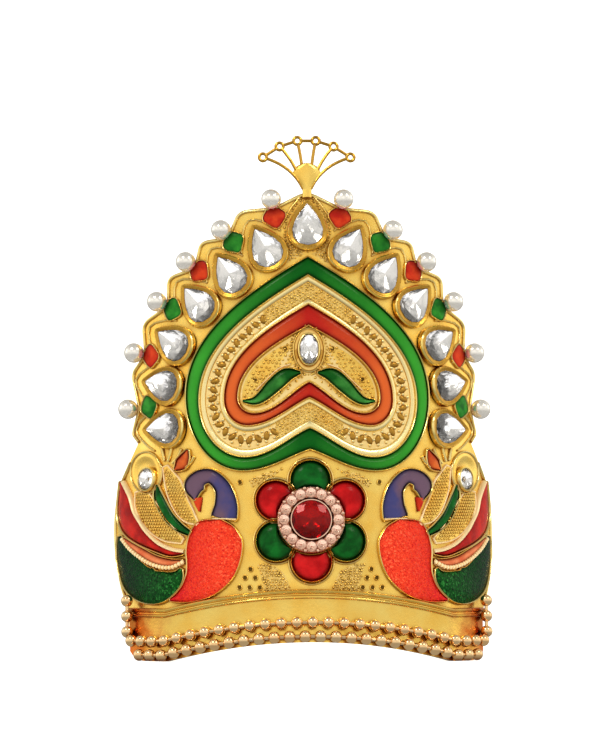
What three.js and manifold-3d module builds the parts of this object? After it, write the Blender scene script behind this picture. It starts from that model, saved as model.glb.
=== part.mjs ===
// Deity crown: a gilt front crown, curved round the forehead and open at the back, that stands on
// its rim. Millimetres, +Z up, and the front faces -Y. The origin is under the middle of its box.
// Places are given as they show from the front, x from the middle line and z above the rim.

import * as THREE from "three";
import { mergeVertices } from "three/addons/utils/BufferGeometryUtils.js";
import Module from "manifold-3d";

const wasm = await Module();
wasm.setup();

// Plan: half an oval, which leans back
const HALF_WIDTH = 77;
const DEPTH = 66;
const LEAN_DEGREES = 11;
const STRIP_DEGREES = 12;
const STRIPS_EACH_SIDE = 7;
const STEEPEST_DEGREES = 89;
const SOLVE_STEPS = 40;

// Thicknesses and clearances
const SHEET = 1.2;
const GAP = 0.3;
const ENAMEL = 1.2;
const MERGE = 1e-3;

// Rim: a shallow arch in the middle, flat at both ends
const RIM_ARCH = 8;
const RIM_ARCH_HALF = 56;
const RIM_END_X = 69.4;

// Plate: its outline from the band's end up to the notch under the lowest stone
const TAIL_EDGE = [
  { x: 71.4, z: 23 },
  { x: 73.2, z: 30 },
  { x: 74.8, z: 42 },
  { x: 74.8, z: 57 },
  { x: 73, z: 69 },
  { x: 69.6, z: 78.5 },
];
const TAIL_EDGE_STEPS = 9;
const NOTCH = { x: 66.4, z: 86 };
const ARCH_MIDDLE_Z = 120;
const VALLEY_INSIDE_PEARL = 2.5;
const PEAK_ROUNDING = 0.3;
const PEAK_SEGMENTS = 2;
const RIM_SEGMENTS = 12;

// Clear stones, from the top one down the right side: centre, way of the point, plate's peak
const STONES = [
  { x: 0, z: 173.2, point: 90, peakX: 0, peakZ: 186.5 },
  { x: 17.2, z: 164.2, point: 61, peakX: 27.2, peakZ: 178.6 },
  { x: 31.4, z: 153.6, point: 57, peakX: 42.2, peakZ: 166.4 },
  { x: 44, z: 142, point: 50, peakX: 54.8, peakZ: 152.3 },
  { x: 54, z: 126.2, point: 39, peakX: 64.5, peakZ: 134 },
  { x: 58.4, z: 109.4, point: 12, peakX: 68.7, peakZ: 113.8 },
  { x: 58, z: 92, point: -4, peakX: 68.7, peakZ: 89.4 },
];
const STONE_WIDTH = 13.4;
const STONE_LENGTH = 18;
const STONE_SIDES = 12;
const STONE_FACE_RISE = 2.3;
const STONE_LEVELS = [
  { height: 0, size: 1 },
  { height: 2, size: 1 },
  { height: 2.4, size: 0.9 },
  { height: 4.2, size: 0.52 },
];
const TEARDROP_WIDEST = 0.7698;

// Pearls in the valleys, from the top down the right side
const PEARLS = [
  { x: 14.4, z: 183 },
  { x: 34.2, z: 170.8 },
  { x: 48, z: 158.2 },
  { x: 59.2, z: 142.4 },
  { x: 68, z: 122 },
  { x: 70.4, z: 99.6 },
];
const PEARL_RADIUS = 4;
const PEARL_RISE = 3.6;
const PEARL_SIDES = 10;
const PEARL_BANDS = 5;

// Inverted hearts: the edges of the two enamel bands
const HEARTS = {
  greenOuter: { apex: 159.8, half: 48.4, waist: 104.5, lobeX: 26.6, lobe: 75.8, notch: 84.4 },
  greenInner: { apex: 153.4, half: 43.8, waist: 103, lobeX: 25.8, lobe: 80.4, notch: 92 },
  redOuter: { apex: 141, half: 33.9, waist: 103.6, lobeX: 24.8, lobe: 93.4, notch: 104.8 },
  redInner: { apex: 133.4, half: 28.6, waist: 104.4, lobeX: 22, lobe: 98.6, notch: 110.6 },
};
const HEART_SEGMENTS = 5;
const SHOULDER = { across: 0.466, down: 0.2375, up: 0.463 };
const LOBE = { down: 0.57, out: 0.57, inward: 0.38, cusp: 0.3, rise: 0.72 };

// Blades: rows along a curved middle line, each with the half width there
const LEAF = [
  { x: 3.6, z: 114.2, half: 0.3 },
  { x: 9, z: 113.2, half: 2.4 },
  { x: 14, z: 109.2, half: 2.6 },
  { x: 18.6, z: 104.8, half: 1.9 },
  { x: 22, z: 102.9, half: 1.2 },
  { x: 26.2, z: 102.9, half: 0.2 },
];
const NECK = [
  { x: 34.2, z: 56.8, half: 4.9 },
  { x: 33.4, z: 62, half: 4.2 },
  { x: 34.6, z: 68.5, half: 3 },
  { x: 39, z: 73, half: 2.5 },
  { x: 43.6, z: 72.2, half: 3 },
  { x: 45.8, z: 68.6, half: 3.6 },
  { x: 45.4, z: 64, half: 0.4 },
];
const BODY = [
  { x: 35.9, z: 55.9, half: 0.6 },
  { x: 36.3, z: 54, half: 6.2 },
  { x: 37.2, z: 50.4, half: 9.4 },
  { x: 38.1, z: 44.6, half: 10.4 },
  { x: 39.6, z: 38, half: 9.6 },
  { x: 42.8, z: 32.2, half: 7.2 },
  { x: 47.2, z: 28, half: 4.3 },
  { x: 51.4, z: 25.6, half: 2 },
  { x: 55.2, z: 24.2, half: 0.2 },
];
const WING = [
  { x: 75, z: 48.4, half: 0.4 },
  { x: 73.4, z: 43, half: 2.1 },
  { x: 70.8, z: 37.2, half: 4.3 },
  { x: 66.8, z: 31.5, half: 6.6 },
  { x: 61.4, z: 29.4, half: 6.6 },
  { x: 56, z: 31, half: 4.5 },
  { x: 52.6, z: 33.4, half: 2.4 },
  { x: 51, z: 36.4, half: 0.4 },
];
const TAIL = [
  { x: 73.4, z: 70.4, half: 0.6 },
  { x: 72.4, z: 64, half: 2.3 },
  { x: 71.8, z: 58, half: 3.2 },
  { x: 69.8, z: 52.8, half: 3.8 },
  { x: 66, z: 48.8, half: 2.9 },
  { x: 60.6, z: 45.2, half: 1.7 },
  { x: 55, z: 43, half: 1.3 },
  { x: 49.8, z: 43, half: 0.4 },
];
const LINING = [
  { x: 72.6, z: 48, half: 0.4 },
  { x: 69.4, z: 45, half: 1.2 },
  { x: 65.4, z: 42.2, half: 1.7 },
  { x: 60.8, z: 39.7, half: 1.8 },
  { x: 55.4, z: 38.6, half: 1.6 },
  { x: 50.4, z: 39.6, half: 0.4 },
];
const CREST = [
  { x: 48, z: 83.4, half: 0.3 },
  { x: 49.2, z: 80.6, half: 1.7 },
  { x: 50.8, z: 77.8, half: 2.2 },
  { x: 53, z: 75.6, half: 0.3 },
];
const PLUME = [
  { x: 59.9, z: 69.4, half: 0.3 },
  { x: 59.3, z: 64.6, half: 2.2 },
  { x: 55.9, z: 57.6, half: 2.4 },
  { x: 51.8, z: 53.2, half: 2 },
  { x: 47.6, z: 50.6, half: 1.2 },
];
const BLADE_STEPS = 9;
const BLADE_LEAST_HALF = 0.1;

// Small oval stones: one in the heart, one in each peacock's tail
const OVAL_SIDES = 14;
const HEART_STONE = { x: 0, z: 123.4, width: 8.4, height: 12.8 };
const EYE_STONE = { x: 64, z: 71.8, width: 8.4, height: 9 };
const OVAL_LEVELS = [
  { height: 0, size: 1 },
  { height: 1.6, size: 1 },
  { height: 1.9, size: 0.86 },
  { height: 3.2, size: 0.46 },
];

// Flower under the heart
const FLOWER_Z = 55.7;
const PETALS = 6;
const PETAL_RING = 16;
const PETAL_RADIUS = 7.5;
const PETAL_SIDES = 12;
const PETAL_LEVELS = [
  { height: 0, size: 1 },
  { height: 0.9, size: 0.97 },
  { height: 1.9, size: 0.72 },
  { height: 2.4, size: 0.36 },
];
const RUBY_RADIUS = 7.9;
const RUBY_SIDES = 16;
const RUBY_LEVELS = [
  { height: 0, size: 1 },
  { height: 3, size: 1 },
  { height: 3.4, size: 0.92 },
  { height: 5, size: 0.84 },
  { height: 6.6, size: 0.5 },
];
const HALO = { inner: 8.3, outer: 13.4, height: 2.2 };
const HALO_STONES = 16;
const HALO_STONE = { ring: 10.8, foot: 2, table: 1.1, sunk: 0.5, height: 1.9, sides: 8 };

// Base band: its section, each row a height above the rim and a rise from the plate
const BAND_HEIGHT = 20.8;
const BAND_FACE_RISE = 1.5;
const BAND_SECTION = [
  { up: BAND_HEIGHT, rise: GAP },
  { up: BAND_HEIGHT, rise: 1.7 },
  { up: BAND_HEIGHT - 0.5, rise: 2.5 },
  { up: BAND_HEIGHT - 1.6, rise: 2.5 },
  { up: BAND_HEIGHT - 2.2, rise: BAND_FACE_RISE },
  { up: 0, rise: BAND_FACE_RISE },
  { up: 0, rise: GAP },
];
const BAND_END_DEGREES = 63.6;

// Ball chains on the band
const BALL_RADIUS = 2.4;
const BALL_PITCH = 6.2;
const BALL_SIDES = 10;
const BALL_LATITUDE_DEGREES = 48;
const CHAIN_NECK_RADIUS = 0.8;
const CHAIN_RISE = BAND_FACE_RISE + GAP + BALL_RADIUS;
const CHAIN_STATIONS = 24;
const LOWER_CHAIN = { up: 3.1, endDegrees: 57 };
const UPPER_CHAIN = { up: 8.6, endDegrees: 62, columnTop: 23.6 };
const COLUMN_STATIONS = 3;

// Finial: a pierced fan that stands on the plate's top peak, in its own plane
const FINIAL_FOOT_Z = 183.4;
const FINIAL_THICKNESS = 2;
const FAN_MIDDLE_UP = 4.6;
const RIBS = [
  { lean: 11.2, reach: 18.8, rootX: 1.8, rootUp: 11.4, kneeX: 2.4, kneeUp: 17 },
  { lean: 33.6, reach: 19.4, rootX: 3.6, rootUp: 9.6, kneeX: 6, kneeUp: 15.4 },
  { lean: 56, reach: 21, rootX: 1.6, rootUp: 3.6, kneeX: 5.6, kneeUp: 12.4 },
];
const RIB_RADIUS = 0.65;
const RIB_SIDES = 5;
const RIB_STEPS = 4;
const EYELET = { radius: 1.5, wire: 0.65, sides: 5, segments: 10 };
const BUD = [
  { up: 0, half: 2 },
  { up: 3, half: 1.7 },
  { up: 5, half: 2.4 },
  { up: 9, half: 4.2 },
  { up: 12.6, half: 5.4 },
  { up: 13.8, half: 2.6 },
];

const radians = THREE.MathUtils.degToRad;
const LEAN = Math.tan(radians(LEAN_DEGREES));
const STRIP_TURNS = Array.from({ length: 2 * STRIPS_EACH_SIDE + 1 }, (_, fold) =>
  radians((fold - STRIPS_EACH_SIDE) * STRIP_DEGREES));

const gold = new THREE.MeshStandardMaterial({ color: 0xe0a030, metalness: 1, roughness: 0.3 });
const green = new THREE.MeshStandardMaterial({ color: 0x12803a, roughness: 0.25 });
const red = new THREE.MeshStandardMaterial({ color: 0xc8201c, roughness: 0.25 });
const salmon = new THREE.MeshStandardMaterial({ color: 0xe2805a, roughness: 0.25 });
const blue = new THREE.MeshStandardMaterial({ color: 0x4a3f92, roughness: 0.25 });
const crystal = new THREE.MeshStandardMaterial({ color: 0xe8eef2, roughness: 0.05 });
const rubyRed = new THREE.MeshStandardMaterial({ color: 0xa00018, roughness: 0.05 });
const pearlWhite = new THREE.MeshStandardMaterial({ color: 0xf4f0ea, roughness: 0.2 });

const crown = new THREE.Group();

function addMesh(name, geometry, material) {
  const mesh = new THREE.Mesh(geometry, material);
  mesh.name = name;
  crown.add(mesh);
  return mesh;
}

// Level way out of the plate at a plan turn
function wayOut(turn) {
  return new THREE.Vector3(Math.sin(turn) / HALF_WIDTH, -Math.cos(turn) / DEPTH, 0).normalize();
}

function onCrown(turn, z, rise) {
  const point = new THREE.Vector3(HALF_WIDTH * Math.sin(turn), LEAN * z - DEPTH * Math.cos(turn), z);
  return point.addScaledVector(wayOut(turn), rise);
}

// True normal of the leaning plate
function facing(turn) {
  const out = wayOut(turn);
  out.z = -LEAN * out.y;
  return out.normalize();
}

function shownX(turn, rise) {
  return HALF_WIDTH * Math.sin(turn) + rise * wayOut(turn).x;
}

// The plan turn whose point at this rise shows at x from the front
function turnShowing(x, rise) {
  let low = -radians(STEEPEST_DEGREES);
  let high = -low;
  for (let step = 0; step < SOLVE_STEPS; step += 1) {
    const middle = (low + high) / 2;
    if (shownX(middle, rise) < x) low = middle;
    else high = middle;
  }
  return (low + high) / 2;
}

// The seat of a stone whose face, at this rise along the normal, shows at x and z
function seatShowing(x, z, rise) {
  let turn = turnShowing(x, 0);
  for (let step = 0; step < SOLVE_STEPS; step += 1) {
    turn = turnShowing(x - rise * facing(turn).x, 0);
  }
  return { turn, z: z - rise * facing(turn).z };
}

function rimHeight(turn) {
  const share = (HALF_WIDTH * Math.sin(turn)) / RIM_ARCH_HALF;
  return RIM_ARCH * Math.max(0, 1 - share * share);
}

// Closed geometry from triangles, with shared corners merged and flat slivers dropped
function closedGeometry(corners) {
  const loose = new THREE.BufferGeometry().setFromPoints(corners);
  const merged = mergeVertices(loose, MERGE);
  const index = merged.getIndex().array;
  const kept = [];
  for (let at = 0; at < index.length; at += 3) {
    const [a, b, c] = index.slice(at, at + 3);
    if (a !== b && b !== c && c !== a) kept.push(a, b, c);
  }
  merged.setIndex(kept);
  return merged;
}

function cornersOf(geometry) {
  const flat = geometry.getIndex() ? geometry.toNonIndexed() : geometry;
  const place = flat.getAttribute("position");
  return Array.from({ length: place.count }, (_, at) => new THREE.Vector3().fromBufferAttribute(place, at));
}

// Cut every triangle that crosses a line of constant x
function slicedAt(corners, cut) {
  const pieces = [];
  for (let at = 0; at < corners.length; at += 3) {
    const triangle = corners.slice(at, at + 3);
    const sides = triangle.map((corner) => (Math.abs(corner.x - cut) < MERGE ? 0 : corner.x - cut));
    if (Math.min(...sides) >= 0 || Math.max(...sides) <= 0) {
      pieces.push(...triangle);
      continue;
    }
    const below = [];
    const above = [];
    triangle.forEach((corner, which) => {
      const next = (which + 1) % 3;
      if (sides[which] <= 0) below.push(corner);
      if (sides[which] >= 0) above.push(corner);
      if (sides[which] * sides[next] < 0) {
        const share = sides[which] / (sides[which] - sides[next]);
        const crossing = corner.clone().lerp(triangle[next], share);
        below.push(crossing);
        above.push(crossing);
      }
    });
    for (const part of [below, above]) {
      for (let fan = 1; fan + 1 < part.length; fan += 1) pieces.push(part[0], part[fan], part[fan + 1]);
    }
  }
  return pieces;
}

// A flat outline, thickened between two rises and bent round the crown in flat strips
function bentSheet(shape, low, high, curveSegments) {
  const options = { depth: high - low, bevelEnabled: false, curveSegments };
  const folds = STRIP_TURNS.map((turn) => shownX(turn, high));
  let corners = cornersOf(new THREE.ExtrudeGeometry(shape, options));
  for (const fold of folds) corners = slicedAt(corners, fold);
  return closedGeometry(corners.map((corner) => {
    const next = Math.min(Math.max(folds.findIndex((fold) => fold > corner.x), 1), folds.length - 1);
    const share = (corner.x - folds[next - 1]) / (folds[next] - folds[next - 1]);
    const from = onCrown(STRIP_TURNS[next - 1], corner.y, low + corner.z);
    return from.lerp(onCrown(STRIP_TURNS[next], corner.y, low + corner.z), share);
  }));
}

// A closed body lofted through rings of equal length
function loft(rings) {
  const corners = [];
  const sides = rings[0].length;
  for (let ring = 0; ring + 1 < rings.length; ring += 1) {
    for (let side = 0; side < sides; side += 1) {
      const next = (side + 1) % sides;
      const [low, high] = [rings[ring], rings[ring + 1]];
      corners.push(low[side], low[next], high[next], low[side], high[next], high[side]);
    }
  }
  const [foot, top] = [rings[0], rings[rings.length - 1]];
  for (let side = 1; side + 1 < sides; side += 1) {
    corners.push(foot[0], foot[side + 1], foot[side]);
    corners.push(top[0], top[side], top[side + 1]);
  }
  return closedGeometry(corners);
}

function solidOf(geometry) {
  const bare = closedGeometry(cornersOf(geometry));
  const vertProperties = new Float32Array(bare.getAttribute("position").array);
  const triVerts = new Uint32Array(bare.getIndex().array);
  return new wasm.Manifold(new wasm.Mesh({ numProp: 3, vertProperties, triVerts }));
}

function geometryOf(solid) {
  const mesh = solid.getMesh();
  const geometry = new THREE.BufferGeometry();
  geometry.setAttribute("position", new THREE.BufferAttribute(mesh.vertProperties, 3));
  geometry.setIndex(Array.from(mesh.triVerts));
  return geometry;
}

function joined(geometries) {
  return geometryOf(geometries.map(solidOf).reduce((whole, part) => whole.add(part)));
}

// Place of a stone on the plate: its own z looks out, its own y follows the point
function seatMatrix(seat, pointDegrees) {
  const out = facing(seat.turn);
  const [across, up] = [Math.cos(radians(pointDegrees)), Math.sin(radians(pointDegrees))];
  const along = new THREE.Vector3(across, -(out.x * across + out.z * up) / out.y, up).normalize();
  const aside = new THREE.Vector3().crossVectors(along, out);
  const place = new THREE.Matrix4().makeBasis(aside, along, out);
  return place.setPosition(onCrown(seat.turn, seat.z, 0).addScaledVector(out, GAP));
}

function seated(mesh, place) {
  mesh.applyMatrix4(place);
  return mesh;
}

// Rings of one outline, shrunk level by level
function steppedStone(outline, levels) {
  return loft(levels.map(({ height, size }) =>
    outline.map((point) => new THREE.Vector3(point.x * size, point.y * size, height))));
}

function ovalOutline(width, height, sides) {
  return new THREE.EllipseCurve(0, 0, width / 2, height / 2).getPoints(sides).slice(0, sides);
}

function pearOutline() {
  const across = STONE_WIDTH / 2 / TEARDROP_WIDEST;
  return Array.from({ length: STONE_SIDES }, (_, side) => {
    const turn = (-2 * Math.PI * side) / STONE_SIDES;
    const x = across * Math.sin(turn) * Math.abs(Math.sin(turn / 2));
    return new THREE.Vector2(x, (STONE_LENGTH / 2) * Math.cos(turn));
  });
}

function mirroredRows(rows, side) {
  return rows.map((row) => ({ ...row, x: side * row.x }));
}

// Outline of a blade, from its rows
function bladeShape(rows) {
  const middle = new THREE.CatmullRomCurve3(rows.map((row) => new THREE.Vector3(row.x, row.z, row.half)));
  const one = [];
  const other = [];
  for (let step = 0; step <= BLADE_STEPS; step += 1) {
    const share = step / BLADE_STEPS;
    const at = middle.getPoint(share);
    const way = middle.getTangent(share).setZ(0).normalize();
    const half = Math.max(at.z, BLADE_LEAST_HALF);
    one.push(new THREE.Vector2(at.x - way.y * half, at.y + way.x * half));
    other.push(new THREE.Vector2(at.x + way.y * half, at.y - way.x * half));
  }
  return new THREE.Shape([...one, ...other.reverse()]);
}

function heartPath(path, edge) {
  const { apex, half, waist, lobeX, lobe, notch } = edge;
  const fall = apex - waist;
  const stops = [[0, apex], [half, waist], [lobeX, lobe], [0, notch]];
  const handles = [
    [SHOULDER.across * half, apex - SHOULDER.down * fall, half, waist + SHOULDER.up * fall],
    [half, waist - LOBE.down * (waist - lobe), lobeX + LOBE.out * (half - lobeX), lobe],
    [lobeX * (1 - LOBE.inward), lobe, lobeX * LOBE.cusp, lobe + LOBE.rise * (notch - lobe)],
  ];
  path.moveTo(0, apex);
  for (const which of [0, 1, 2]) {
    const [ax, az, bx, bz] = handles[which];
    const [x, z] = stops[which + 1];
    path.bezierCurveTo(-ax, az, -bx, bz, -x, z);
  }
  for (const which of [2, 1, 0]) {
    const [ax, az, bx, bz] = handles[which];
    path.bezierCurveTo(bx, bz, ax, az, ...stops[which]);
  }
  return path;
}

function heartBand(outer, inner) {
  const shape = heartPath(new THREE.Shape(), outer);
  shape.holes.push(heartPath(new THREE.Path(), inner));
  return bentSheet(shape, GAP, GAP + ENAMEL, HEART_SEGMENTS);
}

// Plate's outline: rim, tail edge, then a peak at each stone and a valley at each pearl
function plateShape() {
  const edge = new THREE.SplineCurve(TAIL_EDGE.map((row) => new THREE.Vector2(row.x, row.z)));
  const half = [{ x: RIM_END_X, z: 0 }];
  half.push(...edge.getPoints(TAIL_EDGE_STEPS).map((point) => ({ x: point.x, z: point.y })), NOTCH);
  for (let which = STONES.length - 1; which > 0; which -= 1) {
    half.push({ x: STONES[which].peakX, z: STONES[which].peakZ, peak: true });
    const pearl = PEARLS[which - 1];
    const seat = seatShowing(pearl.x, pearl.z, PEARL_RISE);
    const foot = new THREE.Vector2(shownX(seat.turn, 0), seat.z);
    const inward = new THREE.Vector2(0, ARCH_MIDDLE_Z).sub(foot).setLength(VALLEY_INSIDE_PEARL);
    half.push({ x: foot.x - inward.x * wayOut(seat.turn).y, z: foot.y + inward.y });
  }
  const top = { x: STONES[0].peakX, z: STONES[0].peakZ, peak: true };
  const left = half.map((corner) => ({ ...corner, x: -corner.x })).reverse();
  const outline = [...half, top, ...left];

  const shape = new THREE.Shape();
  shape.moveTo(-RIM_ARCH_HALF, 0);
  shape.quadraticCurveTo(0, 2 * RIM_ARCH, RIM_ARCH_HALF, 0);
  outline.forEach((corner, which) => {
    if (!corner.peak) {
      shape.lineTo(corner.x, corner.z);
      return;
    }
    const [before, after] = [outline[which - 1], outline[which + 1]];
    const towards = (next) => [
      corner.x + PEAK_ROUNDING * (next.x - corner.x),
      corner.z + PEAK_ROUNDING * (next.z - corner.z),
    ];
    shape.lineTo(...towards(before));
    const rounding = new THREE.QuadraticBezierCurve(
      new THREE.Vector2(...towards(before)),
      new THREE.Vector2(corner.x, corner.z),
      new THREE.Vector2(...towards(after)),
    );
    for (const point of rounding.getPoints(PEAK_SEGMENTS).slice(1)) shape.lineTo(point.x, point.y);
  });
  return shape;
}

function baseBand() {
  const end = radians(BAND_END_DEGREES);
  const arch = Math.asin(RIM_ARCH_HALF / HALF_WIDTH);
  const between = STRIP_TURNS.filter((turn) => Math.abs(turn) < end);
  const turns = [-end, -arch, ...between, arch, end].sort((one, other) => one - other);
  return loft(turns.map((turn) =>
    BAND_SECTION.map(({ up, rise }) => onCrown(turn, rimHeight(turn) + up, rise))));
}

// A ball chain as one body: balls at an even pitch along a route, joined by thin necks
function ballChain(route) {
  const balls = Math.round(route.getLength() / BALL_PITCH);
  const places = route.getSpacedPoints(balls);
  const latitude = radians(BALL_LATITUDE_DEGREES);
  const rings = [];
  const ring = (middle, way, radius) => {
    const out = wayOut(Math.asin(middle.x / (HALF_WIDTH + CHAIN_RISE)));
    const aside = new THREE.Vector3().crossVectors(way, out).normalize();
    const level = new THREE.Vector3().crossVectors(aside, way);
    rings.push(Array.from({ length: BALL_SIDES }, (_, side) => {
      const turn = (2 * Math.PI * side) / BALL_SIDES;
      return middle.clone()
        .addScaledVector(level, radius * Math.cos(turn))
        .addScaledVector(aside, radius * Math.sin(turn));
    }));
  };
  places.forEach((place, which) => {
    const before = places[Math.max(which - 1, 0)];
    const after = places[Math.min(which + 1, balls)];
    const way = after.clone().sub(before).normalize();
    const reach = BALL_RADIUS * Math.sin(latitude);
    if (which === 0) ring(place.clone().addScaledVector(way, -BALL_RADIUS), way, CHAIN_NECK_RADIUS);
    ring(place.clone().addScaledVector(way, -reach), way, BALL_RADIUS * Math.cos(latitude));
    ring(place, way, BALL_RADIUS);
    ring(place.clone().addScaledVector(way, reach), way, BALL_RADIUS * Math.cos(latitude));
    if (which === balls) {
      ring(place.clone().addScaledVector(way, BALL_RADIUS), way, CHAIN_NECK_RADIUS);
    } else {
      ring(place.clone().lerp(after, 0.5), after.clone().sub(place).normalize(), CHAIN_NECK_RADIUS);
    }
  });
  return loft(rings);
}

function chainRoute({ up, endDegrees, columnTop }) {
  const end = radians(endDegrees);
  const row = Array.from({ length: CHAIN_STATIONS + 1 }, (_, step) => {
    const turn = end * ((2 * step) / CHAIN_STATIONS - 1);
    return onCrown(turn, rimHeight(turn) + up, CHAIN_RISE);
  });
  const column = (turn) => Array.from({ length: COLUMN_STATIONS }, (_, step) =>
    onCrown(turn, columnTop - ((columnTop - up) * step) / COLUMN_STATIONS, CHAIN_RISE));
  if (!columnTop) return new THREE.CatmullRomCurve3(row);
  return new THREE.CatmullRomCurve3([...column(-end), ...row, ...column(end).reverse()]);
}

function finial() {
  const level = FINIAL_THICKNESS / 2;
  const budEdge = new THREE.SplineCurve(BUD.map(({ up, half }) => new THREE.Vector2(half, up)));
  const right = budEdge.getPoints(2 * BUD.length);
  const left = right.map((point) => new THREE.Vector2(-point.x, point.y)).reverse();
  const bud = new THREE.Shape([...right, ...left]);
  const pieces = [new THREE.ExtrudeGeometry(bud, { depth: FINIAL_THICKNESS, bevelEnabled: false })];

  const section = new THREE.Shape(ovalOutline(2 * RIB_RADIUS, 2 * RIB_RADIUS, RIB_SIDES));
  const wire = (curve, steps) =>
    new THREE.ExtrudeGeometry(section, { steps, extrudePath: curve, bevelEnabled: false });
  const ribs = [...RIBS.map((row) => [row, -1]).reverse(), ...RIBS.map((row) => [row, 1])];
  const tips = ribs.map(([row, side]) => {
    const lean = radians(row.lean);
    const tip = new THREE.Vector3(side * row.reach * Math.sin(lean), row.reach * Math.cos(lean), level);
    tip.y += FAN_MIDDLE_UP;
    const root = new THREE.Vector3(side * row.rootX, row.rootUp, level);
    const knee = new THREE.Vector3(side * row.kneeX, row.kneeUp, level);
    const foot = tip.clone().sub(tip.clone().sub(knee).setLength(EYELET.radius));
    pieces.push(wire(new THREE.QuadraticBezierCurve3(root, knee, foot), RIB_STEPS));
    const eyelet = new THREE.TorusGeometry(EYELET.radius, EYELET.wire, EYELET.sides, EYELET.segments);
    pieces.push(eyelet.translate(tip.x, tip.y, tip.z));
    return tip;
  });
  for (let rib = 0; rib + 1 < tips.length; rib += 1) {
    const reach = tips[rib + 1].clone().sub(tips[rib]).setLength(EYELET.radius);
    const from = tips[rib].clone().add(reach);
    const to = tips[rib + 1].clone().sub(reach);
    pieces.push(wire(new THREE.LineCurve3(from, to), 1));
  }
  return joined(pieces);
}

function buildPlate() {
  addMesh("plate", bentSheet(plateShape(), -SHEET, 0, RIM_SEGMENTS), gold);
  addMesh("base_band", baseBand(), gold);
  addMesh("ball_chain_lower", ballChain(chainRoute(LOWER_CHAIN)), gold);
  addMesh("ball_chain_upper", ballChain(chainRoute(UPPER_CHAIN)), gold);
  seated(addMesh("finial", finial(), gold), seatMatrix({ turn: 0, z: FINIAL_FOOT_Z }, 90));
}

function buildStones() {
  const pear = steppedStone(pearOutline(), STONE_LEVELS);
  STONES.forEach((row, which) => {
    for (const [side, word] of which === 0 ? [[1, "top"]] : [[-1, "left"], [1, "right"]]) {
      const name = which === 0 ? "pear_stone_top" : `pear_stone_${word}_${which}`;
      const seat = seatShowing(side * row.x, row.z, STONE_FACE_RISE + GAP);
      seated(addMesh(name, pear, crystal), seatMatrix(seat, side === 1 ? row.point : 180 - row.point));
    }
  });
  const ball = new THREE.SphereGeometry(PEARL_RADIUS, PEARL_SIDES, PEARL_BANDS).rotateX(Math.PI / 2);
  const pearl = closedGeometry(cornersOf(ball));
  PEARLS.forEach((row, which) => {
    for (const [side, word] of [[-1, "left"], [1, "right"]]) {
      const seat = seatShowing(side * row.x, row.z, PEARL_RISE);
      const lifted = new THREE.Matrix4().makeTranslation(0, 0, PEARL_RISE - GAP);
      const place = seatMatrix(seat, 90).multiply(lifted);
      seated(addMesh(`pearl_${word}_${which + 1}`, pearl, pearlWhite), place);
    }
  });
}

function buildHeart() {
  addMesh("heart_outer_enamel", heartBand(HEARTS.greenOuter, HEARTS.greenInner), green);
  addMesh("heart_inner_enamel", heartBand(HEARTS.redOuter, HEARTS.redInner), red);
  const outline = ovalOutline(HEART_STONE.width, HEART_STONE.height, OVAL_SIDES);
  const seat = seatShowing(HEART_STONE.x, HEART_STONE.z, STONE_FACE_RISE);
  seated(addMesh("heart_stone", steppedStone(outline, OVAL_LEVELS), crystal), seatMatrix(seat, 90));
}

function buildSides() {
  const blades = [
    ["leaf", LEAF, green],
    ["peacock_neck", NECK, blue],
    ["peacock_body", BODY, red],
    ["peacock_wing", WING, green],
    ["peacock_tail", TAIL, red],
    ["peacock_lining", LINING, salmon],
    ["peacock_crest", CREST, red],
    ["peacock_plume", PLUME, green],
  ];
  const oval = ovalOutline(EYE_STONE.width, EYE_STONE.height, OVAL_SIDES);
  const eyeStone = steppedStone(oval, OVAL_LEVELS);
  for (const [side, word] of [[-1, "left"], [1, "right"]]) {
    for (const [name, rows, enamel] of blades) {
      const shape = bladeShape(mirroredRows(rows, side));
      addMesh(`${name}_${word}`, bentSheet(shape, GAP, GAP + ENAMEL, 1), enamel);
    }
    const seat = seatShowing(side * EYE_STONE.x, EYE_STONE.z, STONE_FACE_RISE);
    seated(addMesh(`peacock_eye_stone_${word}`, eyeStone, crystal), seatMatrix(seat, 90));
  }
}

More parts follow.
